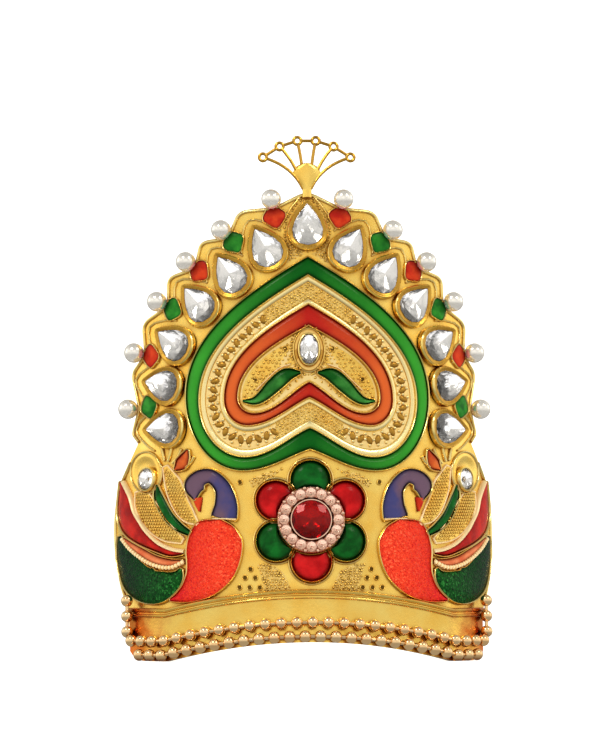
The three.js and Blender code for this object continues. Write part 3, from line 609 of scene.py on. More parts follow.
def headings(path, closed):
    if closed:
        return unit(np.roll(path, -1, axis=0) - np.roll(path, 1, axis=0))
    return unit(np.gradient(path, axis=0))


def across_of(path, closed):
    way = headings(path, closed)
    return np.stack([-way[:, 1], way[:, 0]], axis=1)


# A closed outline moved outwards all round
def grown(outline, by):
    x, z = outline[:, 0], outline[:, 1]
    doubled_area = np.sum(x * np.roll(z, -1) - np.roll(x, -1) * z)
    return outline - by * np.sign(doubled_area) * across_of(outline, True)


def heart(edge):
    apex, half, waist, lobe_x, lobe, notch = HEARTS[edge]
    fall = apex - waist
    drop = waist - lobe
    stops = ((0, apex), (half, waist), (lobe_x, lobe), (0, notch))
    cusp = (lobe_x * LOBE["cusp"], lobe + LOBE["rise"] * (notch - lobe))
    handles = (
        ((SHOULDER["across"] * half, apex - SHOULDER["down"] * fall), (half, waist + SHOULDER["up"] * fall)),
        ((half, waist - LOBE["down"] * drop), (lobe_x + LOBE["out"] * (half - lobe_x), lobe)),
        ((lobe_x * (1 - LOBE["inward"]), lobe), cusp),
    )
    right = [bezier(stops[k], *handles[k], stops[k + 1], HEART_STEPS)[:-1] for k in range(3)]
    right = np.vstack(right + [[stops[3]]])
    return unrolled(np.vstack([right, mirrored(right[-2:0:-1], -1)]))


HEART_EDGES = {edge: heart(edge) for edge in HEARTS}


def between_hearts(share):
    return HEART_EDGES["green_inner"] + share * (HEART_EDGES["red_outer"] - HEART_EDGES["green_inner"])


def blade_edges(rows, side):
    spine = smooth_through(mirrored(rows, side), BLADE_STEPS)
    across = across_of(spine[:, :2], False) * np.maximum(spine[:, 2:], BLADE_LEAST_HALF)
    return unrolled(spine[:, :2] + across), unrolled(spine[:, :2] - across)


def outline_of(one, other):
    return np.vstack([one, other[::-1]])


def circle(radius, steps, start=0.0):
    turn = start + 2 * math.pi * np.arange(steps) / steps
    return radius * np.stack([np.cos(turn), np.sin(turn)], axis=1)


def oval(place, side):
    x, z, half_wide, half_tall = place
    return unrolled([side * x, z] + circle(1, OVAL_STEPS) * (half_wide, half_tall))


def teardrop(steps):
    turn = -2 * math.pi * np.arange(steps) / steps
    across = STONE_WIDTH / 2 / TEARDROP_WIDEST * np.sin(turn) * np.abs(np.sin(turn / 2))
    return np.stack([across, STONE_LENGTH / 2 * np.cos(turn)], axis=1)


# Shapes: each is its points and its faces

def lofted(rings, closed):
    count, sides = rings.shape[:2]
    ring, side = np.meshgrid(np.arange(count if closed else count - 1), np.arange(sides), indexing="ij")
    after, beside = (ring + 1) % count, (side + 1) % sides
    quads = np.stack([ring * sides + side, ring * sides + beside, after * sides + beside,
                      after * sides + side], axis=-1)
    faces = quads.reshape(-1, 4).tolist()
    if not closed:
        faces.append(list(range(sides)))
        faces.append([(count - 1) * sides + k for k in range(sides)])
    return rings.reshape(-1, 3), faces


# A strip between two edges, its section given as shares of the way across and rises, its feet sunk
def ribbon(one, other, section, closed):
    share, rise = np.array([(0, -SUNK), *section, (1, -SUNK)]).T
    sheet = one[:, None] + (other - one)[:, None] * share[None, :, None]
    return lofted(raised(sheet, rise[None, :]), closed)


# A raised line of one kind along a path on the sheet
def line(path, kind, closed=True):
    width, height = LINES[kind]
    across = across_of(path, closed) * width / 2
    section = [(share, height * top) for share, top in ROUND_TOP]
    return ribbon(path + across, path - across, section, closed)


# Rings of one outline on the sheet, sunk at the foot, shrunk about a middle level by level, closed on top
def dome(outline, middle, levels):
    rings = [raised(middle + (outline - middle) * size, rise) for size, rise in ((1, -SUNK), *levels)]
    return lofted(np.stack(rings), False)


def placed(local, axes, foot):
    points, faces = local
    return foot + points @ axes, faces


def moved(local, by):
    points, faces = local
    return points + by, faces


def joined(shapes):
    points, faces, start = [], [], 0
    for own, rows in shapes:
        points.append(own)
        faces.extend([[start + k for k in row] for row in rows])
        start += len(own)
    return np.vstack(points), faces


def level(outline, z):
    return np.column_stack([outline, np.full(len(outline), z)])


def ball(radius, kind):
    sides, bands = BALL_SIDES[kind]
    tilt = np.linspace(0, math.pi, bands + 1)[1:-1]
    rings = np.stack([level(circle(radius * math.sin(a), sides), radius * math.cos(a)) for a in tilt])
    points, faces = lofted(rings, False)
    faces = faces[:-2]
    poles = len(points)
    points = np.vstack([points, [[0, 0, radius], [0, 0, -radius]]])
    last = (bands - 2) * sides
    for side in range(sides):
        beside = (side + 1) % sides
        faces.append([poles, side, beside])
        faces.append([poles + 1, last + beside, last + side])
    return points, faces


# Copies of one small shape, each on its own seat on the sheet, sized and turned
def strewn(template, sheet, sizes, spins=0.0, rise=0.0):
    points, faces = template
    turn = np.interp(sheet[:, 0], GIRTH, TURNS)
    out = facing(turn)
    sideways = unit(np.stack([-out[:, 1], out[:, 0], 0 * turn], axis=1))
    up = np.cross(out, sideways)
    spins = np.broadcast_to(spins, turn.shape)[:, None]
    one = sideways * np.cos(spins) + up * np.sin(spins)
    two = np.cross(out, one)
    foot = on_crown(turn, sheet[:, 1], rise)
    local = points[None] * np.broadcast_to(sizes, turn.shape)[:, None, None]
    spots = foot[:, None] + local[..., :1] * one[:, None] + local[..., 1:2] * two[:, None]
    spots = spots + local[..., 2:] * out[:, None]
    base = np.arange(len(sheet)) * len(points)
    rows = [[start + k for k in row] for start in base.tolist() for row in faces]
    return spots.reshape(-1, 3), rows


def granules(spots):
    sizes = GRANULE_RADIUS * chance.uniform(*GRANULE_SIZES, len(spots))
    return strewn(ball(1, "granule"), spots + chance.normal(0, GRANULE_STRAY, spots.shape), sizes)


def tube(path, radius, closed=False):
    way = headings(path, closed)
    sideways = unit(np.cross(way, [0.0, 0.0, 1.0]))
    over = np.cross(sideways, way)
    ring = circle(radius, TUBE_SIDES)
    rings = path[:, None] + sideways[:, None] * ring[:, :1] + over[:, None] * ring[:, 1:]
    return lofted(rings, closed)


# Wall, belly and keel under a girdle
def under_faces(count, belly, keel):
    faces = []
    for k in range(count):
        after = (k + 1) % count
        faces.append([k, after, count + after, count + k])
        faces.append([k, belly + k, belly + after, after])
        faces.append([keel, belly + after, belly + k])
    return faces


# Cut stone: table, stars, kites and girdle facets over a shallow belly and a steeper keel
def brilliant(girdle, heights):
    keel_z, belly_z, wall_z, girdle_z, star_z, table_z = heights
    count = len(girdle)
    mains = count // 2
    levels = ((girdle, wall_z), (girdle, girdle_z), (girdle[1::2] * STAR_SHARE, star_z),
              (girdle[0::2] * TABLE_SHARE, table_z), (girdle * BELLY_SHARE, belly_z))
    points = np.vstack([level(outline, z) for outline, z in levels] + [[[0, 0, keel_z]]])
    upper, stars, tables = count, 2 * count, 2 * count + mains
    belly, keel = 2 * count + 2 * mains, 3 * count + 2 * mains
    faces = [[tables + k for k in range(mains)]]
    for k in range(mains):
        after = (k + 1) % mains
        edge = [upper + 2 * k, upper + 2 * k + 1, upper + (2 * k + 2) % count]
        faces.append([tables + k, stars + k, tables + after])
        faces.append([tables + after, stars + k, edge[2], stars + after])
        faces.append([stars + k, edge[0], edge[1]])
        faces.append([stars + k, edge[1], edge[2]])
    return points, faces + under_faces(count, belly, keel)


# Foil under a stone: a cup that follows its belly and keel
def foil_cup(girdle, heights, foot_z=0.0):
    keel_z, belly_z, wall_z = heights[:3]
    count = len(girdle)
    levels = ((1, wall_z - FOIL_GAP), (1, foot_z), (BELLY_SHARE, belly_z - FOIL_GAP))
    rings = [level(girdle * FOIL_SHARE * size, z) for size, z in levels]
    points = np.vstack(rings + [[[0, 0, keel_z - FOIL_GAP]]])
    belly, keel = 2 * count, 3 * count
    return points, [list(range(count, 2 * count))] + under_faces(count, belly, keel)


# Collar round an outline: rows of how far out and how high
def collar(outline, rows):
    rings = np.stack([level(grown(outline, out), z) for out, z in rows])
    return lofted(rings.transpose(1, 0, 2), True)


# Materials

def blank(name, values):
    made = bpy.data.materials.new(name)
    made.use_nodes = True
    sockets = made.node_tree.nodes["Principled BSDF"].inputs
    for socket, value in values.items():
        sockets[socket].default_value = value
    return made, made.node_tree, sockets


def add(tree, kind, inputs=None, **settings):
    made = tree.nodes.new(kind)
    for name, value in settings.items():
        setattr(made, name, value)
    for name, value in (inputs or {}).items():
        if isinstance(value, bpy.types.NodeSocket):
            tree.links.new(value, made.inputs[name])
        else:
            made.inputs[name].default_value = value
    return made


def where(tree):
    return add(tree, "ShaderNodeTexCoord").outputs["Object"]


def noise(tree, scale, detail):
    inputs = {"Vector": where(tree), "Scale": scale, "Detail": detail}
    return add(tree, "ShaderNodeTexNoise", inputs).outputs["Fac"]


def blended(tree, share, dark, light):
    mix = add(tree, "ShaderNodeMix", {0: share}, data_type="RGBA")
    for socket, colour in ((mix.inputs[6], dark), (mix.inputs[7], light)):
        if isinstance(colour, bpy.types.NodeSocket):
            tree.links.new(colour, socket)
        else:
            socket.default_value = (*colour, 1)
    return mix.outputs[2]


def ranged(tree, value, low, high, to_low=0.0, to_high=1.0):
    inputs = {"Value": value, "From Min": low, "From Max": high, "To Min": to_low, "To Max": to_high}
    return add(tree, "ShaderNodeMapRange", inputs).outputs["Result"]


def bumped(tree, sockets, height, strength, distance):
    inputs = {"Height": height, "Strength": strength, "Distance": distance}
    tree.links.new(add(tree, "ShaderNodeBump", inputs).outputs["Normal"], sockets["Normal"])


# Painted shade mask from ambient occlusion: from 0 in crevices to 1 where nothing is near
def shade_openness(tree, reach, darkest, clear):
    shade = add(tree, "ShaderNodeAmbientOcclusion", {"Distance": reach}, samples=SHADE_OPENNESS_SAMPLES)
    return ranged(tree, shade.outputs["AO"], darkest, clear)


# From 0 to 1 between two distances from the middle line, a little unevenly
def away(tree, uneven, near, far):
    aside = add(tree, "ShaderNodeSeparateXYZ", {"Vector": where(tree)}).outputs["X"]
    distance = add(tree, "ShaderNodeMath", {0: aside}, operation="ABSOLUTE").outputs["Value"]
    drift = ranged(tree, uneven, *MOST_NOISE, -TINT_DRIFT, TINT_DRIFT)
    drifted = add(tree, "ShaderNodeMath", {0: distance, 1: drift}).outputs["Value"]
    return ranged(tree, drifted, near * MM, far * MM)


# Painted shade towards the sides for the looks listed in the side shade table
def side_shaded(tree, name, colour, uneven):
    if name not in SIDE_SHADE_TINTS:
        return colour
    side_shade_colour, near, far = SIDE_SHADE_TINTS[name]
    return blended(tree, away(tree, uneven, near, far), colour, side_shade_colour)


def shaded(colour, share):
    return tuple(share * part for part in colour)


# Gilt metal: cloudy colour, brown patina and painted shade in the crevices, fine grain
def gilt(name, bright, warm, crevice_patina_and_shade, rough, grain_scale, grain, metallic):
    made, tree, sockets = blank("gilt_" + name, {"Metallic": metallic})
    cloud = noise(tree, *GILT_NOISE)
    colour = blended(tree, ranged(tree, cloud, *GILT_CLOUDS), warm, bright)
    # Painted side shade, for the band's ends
    colour = side_shaded(tree, name, colour, cloud)
    # Crevices darken towards the crevice colour: part brown patina, part painted shade
    unshaded_share = shade_openness(tree, *GILT_CREVICE_SHADE)
    tree.links.new(blended(tree, unshaded_share, crevice_patina_and_shade, colour), sockets["Base Color"])
    fine = noise(tree, grain_scale, GRAIN_DETAIL)
    tree.links.new(ranged(tree, fine, *MOST_NOISE, *rough), sockets["Roughness"])
    bumped(tree, sockets, fine, grain, GRAIN_DEPTH)
    return made


# Enamel with a cloudy depth and painted shade along its edges by the wires; one that fades is deep by the
# middle line and light away from it
def enamel(name, light, dark, scale, fade=None):
    made, tree, sockets = blank("enamel_" + name, GLOSS["enamel"])
    cloud = noise(tree, scale, ENAMEL_DETAIL)
    share = away(tree, cloud, *fade) if fade else ranged(tree, cloud, *ENAMEL_CLOUDS)
    clear = blended(tree, share, dark, light)
    unshaded_share = shade_openness(tree, *ENAMEL_EDGE_SHADE)
    # Painted shade: the dark edge colour takes over by wires and near parts
    edge = shaded(dark, ENAMEL_EDGE_SHADE_SHARE)
    tree.links.new(blended(tree, unshaded_share, edge, clear), sockets["Base Color"])
    tree.links.new(ranged(tree, cloud, *MOST_NOISE, *ENAMEL_ROUGH), sockets["Roughness"])
    bumped(tree, sockets, cloud, *ENAMEL_BUMP)
    return made


# Enamel over foil flakes: each flake has its own shade, gloss and tilt
def glitter(name, light, middle, dark, flakes):
    made, tree, sockets = blank(name, GLOSS["glitter"])
    inputs = {"Vector": where(tree), "Scale": flakes, "Randomness": 1.0}
    cells = add(tree, "ShaderNodeTexVoronoi", inputs).outputs
    flake = add(tree, "ShaderNodeSeparateColor", {"Color": cells["Color"]}).outputs
    ramp = add(tree, "ShaderNodeValToRGB", {"Fac": flake["Red"]})
    stops = ramp.color_ramp.elements
    for place in FLAKE_STOPS[1:-1]:
        stops.new(place)
    for stop, place, colour in zip(stops, FLAKE_STOPS, (dark, middle, middle, light)):
        stop.position = place
        stop.color = (*colour, 1)
    tree.links.new(side_shaded(tree, name, ramp.outputs["Color"], flake["Red"]), sockets["Base Color"])
    tree.links.new(ranged(tree, flake["Green"], 0.0, 1.0, *FLAKE_ROUGH), sockets["Roughness"])
    tree.links.new(ranged(tree, flake["Blue"], *MIRROR_FLAKES, *FLAKE_METAL), sockets["Metallic"])
    bumped(tree, sockets, cells["Distance"], *FLAKE_BUMP)
    return made


# Smooth material with a cloudy colour
def cloudy(name, dark, light, scale, detail, rough=None, bump=0.0, gloss=None):
    made, tree, sockets = blank(name, gloss or GLOSS[name])
    cloud = noise(tree, scale, detail)
    tree.links.new(blended(tree, cloud, dark, light), sockets["Base Color"])
    if rough:
        tree.links.new(ranged(tree, cloud, *MOST_NOISE, *rough), sockets["Roughness"])
    if bump:
        bumped(tree, sockets, cloud, bump, FINE_DEPTH)
    return made


def cut_glass(name, colour, rough, shine):
    gloss = {"Transmission Weight": 1.0, "IOR": GLASS_INDEX, "Roughness": rough, "Specular Tint": (*shine, 1)}
    return cloudy(name, shaded(colour, GLASS_DARK_SHARE), colour, *GLASS_NOISE, gloss=gloss)


# Each look is a material and the slot it belongs to
LOOKS = {name: (gilt(name, *row), "gilt") for name, row in GILTS.items()}
for make, table in ((enamel, ENAMELS), (glitter, GLITTERS), (cut_glass, CUT_STONES), (cloudy, CLOUDY)):
    for look, (slot, *row) in table.items():
        LOOKS[look] = (make(look, *row), slot)


def put(name, data):
    thing = bpy.data.objects.new(name, data)
    bpy.context.scene.collection.objects.link(thing)
    return thing


# A piece of the dressed crown, riding on its one body
def piece(name, shape, look, stands_for=(), crease=CREASE_DEGREES):
    points, faces = shape
    material, slot = LOOKS[look]
    mesh = bpy.data.meshes.new(name)
    mesh.from_pydata((points * MM).tolist(), [], faces)
    work = bmesh.new()
    work.from_mesh(mesh)
    bmesh.ops.recalc_face_normals(work, faces=work.faces)
    work.to_mesh(mesh)
    work.free()
    mesh.materials.append(material)
    mesh.polygons.foreach_set("use_smooth", [crease > 0] * len(mesh.polygons))
    if crease > 0:
        mesh.set_sharp_from_angle(angle=math.radians(crease))
    mesh.update()
    thing = put(name, mesh)
    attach(thing, "root")
    if stands_for:
        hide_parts(*stands_for)


# Plate

def scalloped_half():
    corners = []
    for which in range(len(STONES) - 1, 0, -1):
        corners.append((*STONES[which][3:], True))
        _, foot = seat(*PEARLS[which - 1], PEARL_RISE)
        inward = VALLEY_INSIDE_PEARL * unit(np.array([-foot[0], ARCH_MIDDLE_Z - foot[2]]))
        slant = -way_out(turn_showing(foot[0], 0))[1]
        corners.append((foot[0] + slant * inward[0], foot[2] + inward[1], False))
    corners.append((*STONES[0][3:], True))
    return corners


# Scalloped edge from the right notch over the top to the left one
def scalloped_edge():
    half = [(*NOTCH, False)] + scalloped_half()
    whole = half + [(-x, z, peak) for x, z, peak in half[-2::-1]]
    path = []
    for which, (x, z, peak) in enumerate(whole):
        corner = np.array([x, z])
        if not peak:
            path.append(corner[None])
            continue
        before = corner + PEAK_ROUNDING * (np.array(whole[which - 1][:2]) - corner)
        after = corner + PEAK_ROUNDING * (np.array(whole[which + 1][:2]) - corner)
        path.append(bend(before, corner, after, PEAK_STEPS))
    return np.vstack(path)


def tail_edge(side):
    return mirrored(smooth_through(TAIL_EDGE, TAIL_EDGE_STEPS), side)


def plate_outline():
    rim_x = np.linspace(-RIM_ARCH_HALF, RIM_ARCH_HALF, RIM_STEPS)
    rim = np.column_stack([rim_x, rim_height(rim_x)])
    corner_x = np.linspace(RIM_END_X - CORNER_ROUND, RIM_END_X, CORNER_STEPS)
    corner = np.column_stack([corner_x, corner_lift(corner_x)])
    right = np.vstack([corner, tail_edge(1)])
    left = mirrored(right[::-1], -1)
    return unrolled(np.vstack([rim, right, scalloped_edge(), left]), 0)


def inside(points, outline):
    x, z = points[:, 0][:, None], points[:, 1][:, None]
    ax, az = outline[:, 0][None], outline[:, 1][None]
    bx, bz = np.roll(ax, -1, axis=1), np.roll(az, -1, axis=1)
    crosses = (az > z) != (bz > z)
    rise = np.where(bz == az, 1, bz - az)
    return np.sum(crosses & (x < ax + (z - az) * (bx - ax) / rise), axis=1) % 2 == 1


def distance_to(points, outline):
    along = np.roll(outline, -1, axis=0) - outline
    length = np.maximum(np.sum(along ** 2, axis=1), 1e-12)
    from_start = points[:, None] - outline[None]
    share = np.clip(np.sum(from_start * along, axis=2) / length, 0, 1)
    return np.min(np.linalg.norm(from_start - share[..., None] * along, axis=2), axis=1)


# Spots in a honeycomb that fill an outline
def hex_spots(outline, step):
    low, high = outline.min(axis=0), outline.max(axis=0)
    spots = []
    for row, z in enumerate(np.arange(low[1], high[1], step * math.sqrt(0.75))):
        across = np.arange(low[0] + step / 2 * (row % 2), high[0], step)
        spots.append(np.column_stack([across, np.full_like(across, z)]))
    spots = np.vstack(spots)
    return spots[inside(spots, outline)]


def plate_sheet():
    outline = evenly(plate_outline(), EDGE_STEP, True)
    spots = hex_spots(outline, PLATE_STEP)
    spots = spots[distance_to(spots, outline) > EDGE_STEP / 2]
    flat = np.vstack([outline, spots])
    count = len(outline)
    edges = [(k, (k + 1) % count) for k in range(count)]
    made = delaunay_2d_cdt([Vector(p) for p in flat.tolist()], edges, [], 1, 1e-6)
    corners, triangles = np.array([list(p) for p in made[0]]), np.array(made[2])
    triangles = triangles[inside(corners[triangles].mean(axis=1), outline)]
    total = len(corners)
    points = np.vstack([raised(corners, 0), raised(corners, -SHEET)])
    faces = triangles.tolist() + (triangles[:, ::-1] + total).tolist()
    faces += [[a, b, b + total, a + total] for a, b in edges]
    return points, faces


# Line on the sheet that follows a stone's outline some way out
def round_stone(x, z, point, beyond):
    axes, foot = seat(x, z, 0, point)
    points = foot + grown(teardrop(OUTLINE_STEPS), beyond) @ axes[:2]
    return unrolled(points[:, [0, 2]], 0)


def stone_seats():
    for which, (x, z, point, _, _) in enumerate(STONES):
        for side, word in SIDES[which == 0:]:
            name = f"pear_stone_{word}_{which}" if which else "pear_stone_top"
            yield name, side * x, z, point if side == 1 else 180 - point


def build_plate():
    piece("plate_sheet", plate_sheet(), "ground", ["plate"])
    arch = unrolled(evenly(scalloped_edge(), EDGE_LINE_STEP), 0)
    wires = [line(arch + across_of(arch, False) * EDGE_INSET, "edge", False)]
    for side, _ in SIDES:
        edge = unrolled(tail_edge(side), 0)
        wires.append(line(edge + across_of(edge, False) * side * EDGE_INSET, "edge", False))
    pointed_half = np.arange(-FRAME_REACH, FRAME_REACH + 1)
    for _, x, z, point in stone_seats():
        wires.append(line(round_stone(x, z, point, FRAME_BEYOND)[pointed_half], "frame", False))
    piece("edge_wires", joined(wires), "polished")

    turns = np.radians(np.linspace(-BAND_END_DEGREES, BAND_END_DEGREES, BAND_STEPS))
    x = HALF_WIDTH * np.sin(turns)
    rim, lift = rim_height(x), corner_lift(x)
    rings = [on_crown(turns, np.maximum(rim + up, lift), rise) for up, rise in BAND_SECTION]
    piece("base_band_strip", lofted(np.stack(rings, axis=1), False), "band", ["base_band"])


# Ball chains

def chain_route(up, end_degrees, column_top):
    end = math.radians(end_degrees)
    turns = np.linspace(-end, end, CHAIN_STEPS)
    row = on_crown(turns, rim_height(HALF_WIDTH * np.sin(turns)) + up, CHAIN_RISE)
    if column_top is None:
        return row
    levels = np.linspace(column_top, up, COLUMN_STEPS)[:-1]
    left, right = (on_crown(np.full_like(levels, turn), levels, CHAIN_RISE) for turn in (-end, end))
    return np.vstack([left, row, right[::-1]])


def ball_chain(route):
    places = evenly(route, BALL_PITCH)
    bead = ball(BALL_RADIUS, "chain")
    shapes = [moved(bead, place) for place in places]
    shapes += [tube(np.stack(ends), CHAIN_LINK_RADIUS) for ends in zip(places[:-1], places[1:])]
    return joined(shapes)


def build_chains():
    for name, chain in CHAINS.items():
        piece(name + "_balls", ball_chain(chain_route(*chain)), "balls", [name])


# Finial, flat in its own frame: x across, y up, z out

def build_finial():
    middle = FINIAL_THICKNESS / 2
    place = seat(0, FINIAL_FOOT_Z, 0)
    up, half = smooth_through(BUD, BUD_STEPS).T
    rings = [level(np.column_stack([half * (2 * share - 1), up]), middle + out) for share, out in BUD_SECTION]
    bud = lofted(np.stack(rings, axis=1), False)
    piece("finial_bud", placed(bud, *place), "ground", ["finial"])

    wires, tips = [], []
    ribs = [(row, -1) for row in RIBS[::-1]] + [(row, 1) for row in RIBS]
    for (lean, reach, root_x, root_up, knee_x, knee_up), side in ribs:
        lean = math.radians(lean)
        tip = np.array([side * reach * math.sin(lean), reach * math.cos(lean) + FAN_MIDDLE_UP, middle])
        root = np.array([side * root_x, root_up, middle])
        knee = np.array([side * knee_x, knee_up, middle])
        foot = tip - EYELET_RADIUS * unit(tip - knee)
        wires.append(tube(bend(root, knee, foot, RIB_STEPS), RIB_RADIUS))
        wires.append(tube(level(circle(EYELET_RADIUS, EYELET_STEPS), 0.0) + tip, RIB_RADIUS, True))
        tips.append(tip)
    for start, end in zip(tips[:-1], tips[1:]):
        reach = EYELET_RADIUS * unit(end - start)
        wires.append(tube(np.linspace(start + reach, end - reach, BAR_POINTS), RIB_RADIUS))
    piece("finial_wires", placed(joined(wires), *place), "antique", ["finial"])


# Stones, pearls and tiles round the arch, and the small oval stones

# Each clear stone's node, seat, girdle, heights, outline and collar
def clear_stones():
    pear = (teardrop(PEAR_CORNERS) * STONE_SHOWING, PEAR_HEIGHTS, teardrop(OUTLINE_STEPS), PEAR_COLLAR)
    for name, x, z, point in stone_seats():
        yield name, seat(x, z, STONE_FACE_RISE, point), *pear
    for (x, z, width, height), node in ((HEART_STONE, "heart_stone"), (EYE_STONE, "peacock_eye_stone")):
        showing = (width / 2 - OVAL_INSET, height / 2 - OVAL_INSET)
        girdle, outline = (circle(1, steps) * showing for steps in (OVAL_CORNERS, OVAL_COLLAR_STEPS))
        for side, word in SIDES if x else SIDES[1:]:
            name = f"{node}_{word}" if x else node
            yield name, seat(side * x, z, FACE_RISE), girdle, OVAL_HEIGHTS, outline, OVAL_COLLAR


def build_stones():
    foils, collars, shade_rings = [], [], []
    for name, place, girdle, heights, outline, section in clear_stones():
        piece(name + "_cut", placed(brilliant(girdle, heights), *place), "crystal", [name], FACETED)
        foils.append(placed(foil_cup(girdle, heights), *place))
        collars.append(placed(collar(outline, section), *place))
        if section == PEAR_COLLAR:
            # A dark ring round each pear stone stands for the shadow inside its collar
            shade_rings.append(placed(collar(outline, PEAR_SHADE_RING), *place))
    piece("stone_foils", joined(foils), "silver_foil")
    piece("stone_collars", joined(collars), "polished")
    piece("stone_bevels", joined(shade_rings), "antique")


def build_pearls():
    bead = moved(ball(PEARL_RADIUS, "pearl"), [0, 0, PEARL_RISE])
    for which, (x, z) in enumerate(PEARLS):
        for side, word in SIDES:
            name = f"pearl_{word}_{which + 1}"
            place = seat(side * x, z, PEARL_RISE)
            piece(name + "_bead", placed(bead, *place), "pearl_lustre", [name], ALL_ROUND)
    round_square = circle(1, TILE_STEPS)
    round_square = np.sign(round_square) * np.abs(round_square) ** TILE_SQUARENESS
    wires, fills = [], {"red": [], "green": []}
    for x, z, colour in TILES:
        for side, _ in SIDES:
            middle = unrolled([side * x, z])
            tilt = math.atan2(z - ARCH_MIDDLE_Z, side * x) + math.pi / 4
            spin = np.array([[math.cos(tilt), math.sin(tilt)], [-math.sin(tilt), math.cos(tilt)]])
            edge = middle + TILE_HALF * round_square @ spin
            fills[colour].append(dome(edge, middle, TILE_LEVELS))
            wires.append(line(grown(edge, LINE_BEYOND), "tile"))
    for colour, tiles in fills.items():
        piece("arch_tiles_" + colour, joined(tiles), "tile_" + colour)
    piece("arch_tile_wires", joined(wires), "polished")


# Hearts, and the grounds in and between them

def in_zone(spots):
    x, z = np.abs(spots[:, 0]), spots[:, 1]
    at_apex = (x < APEX_ZONE["half"]) & (z > APEX_ZONE["above"])
    return at_apex | ((x < NOTCH_ZONE["half"]) & (z < NOTCH_ZONE["below"]))


def build_hearts():
    for which, colour in (("outer", "green"), ("inner", "red")):
        fill = ribbon(HEART_EDGES[colour + "_outer"], HEART_EDGES[colour + "_inner"], FILL_SECTION, True)
        piece(f"heart_{which}_fill", fill, "ring_" + colour, [f"heart_{which}_enamel"])
    wires = []
    for name, outline in HEART_EDGES.items():
        out = LINE_BEYOND if name.endswith("outer") else -LINE_BEYOND
        wires.append(line(grown(outline, out), "cell"))
    piece("heart_wires", joined(wires), "polished")
    borders = [ribbon(*map(between_hearts, shares), BORDER_SECTION, True) for shares in BORDER_SHARES]
    piece("heart_borders", joined(borders), "pale")


def build_heart_row():
    row = evenly(between_hearts(MARK_SHARE), MARK_PITCH, True)
    way = headings(row, True)
    tilt = MARK_TILT * (-1.0) ** np.arange(len(row))
    spins = np.arctan2(way[:, 1], way[:, 0]) + tilt
    bead = ball(1, "bead")
    # The row's marks are raised grains coloured as the shade of recesses
    recess_shade_mark = (bead[0] * MARK_SIZE, bead[1])
    kept = ~in_zone(row)
    piece("heart_marks", strewn(recess_shade_mark, row[kept], 1.0, spins[kept]), "recess_shade_mark")
    beads = []
    for share in BEAD_SHARES:
        ends = evenly(between_hearts(share), MARK_PITCH, True)
        spots = (ends + np.roll(ends, -1, axis=0)) / 2
        beads.append(spots[~in_zone(spots)])
    piece("heart_beads", strewn(bead, np.vstack(beads), HEART_BEAD), "pale")


def build_grounds():
    granule_oval = oval(GRANULE_OVAL, 1)
    spots = np.vstack([evenly(between_hearts(share), GRANULE_PITCH, True) for share in GRANULE_SHARES])
    grains = [granules(spots[in_zone(spots)])]
    for ring in (granule_oval, round_stone(*STONES[0][:3], TOP_RING_BEYOND)):
        grains.append(granules(evenly(ring, GRANULE_PITCH, True)))

    one, other = (between_hearts(share) for share in ROW_SHARES)
    field = grown(HEART_EDGES["red_inner"], -FIELD_INSET)
    middle = unrolled([0, HEART_OVAL[1]])
    rows = [ribbon(one, other, ROW_SECTION, True), dome(field, middle, STIPPLE_LEVELS)]
    piece("heart_grounds", joined(rows), "row")
    spots = hex_spots(grown(field, -FIELD_INSET), FIELD_PITCH)
    kept = ~inside(spots, granule_oval)
    for side, _ in SIDES:
        leaf = outline_of(*blade_edges(BLADES["leaf"][1:], side))
        kept &= ~inside(spots, grown(leaf, FIELD_INSET))
    grains.append(granules(spots[kept]))

    grounds = []
    for start in (0, len(one) // 2):
        reach = np.count_nonzero(in_zone(np.roll(one, -start, axis=0)[:len(one) // 4]))
        span = np.arange(start - reach, start + reach + 1) % len(one)
        grounds.append(ribbon(one[span], other[span], ZONE_SECTION, False))
    for patch in PATCHES:
        for side, _ in SIDES:
            outline = unrolled(mirrored(patch, side))
            grounds.append(dome(outline, outline.mean(axis=0), STIPPLE_LEVELS))
            grains.append(granules(hex_spots(outline, GRANULE_PITCH)))
    piece("stippled_grounds", joined(grounds), "stipple")
    piece("granulation", joined(grains), "grains")


# Leaves and peacocks

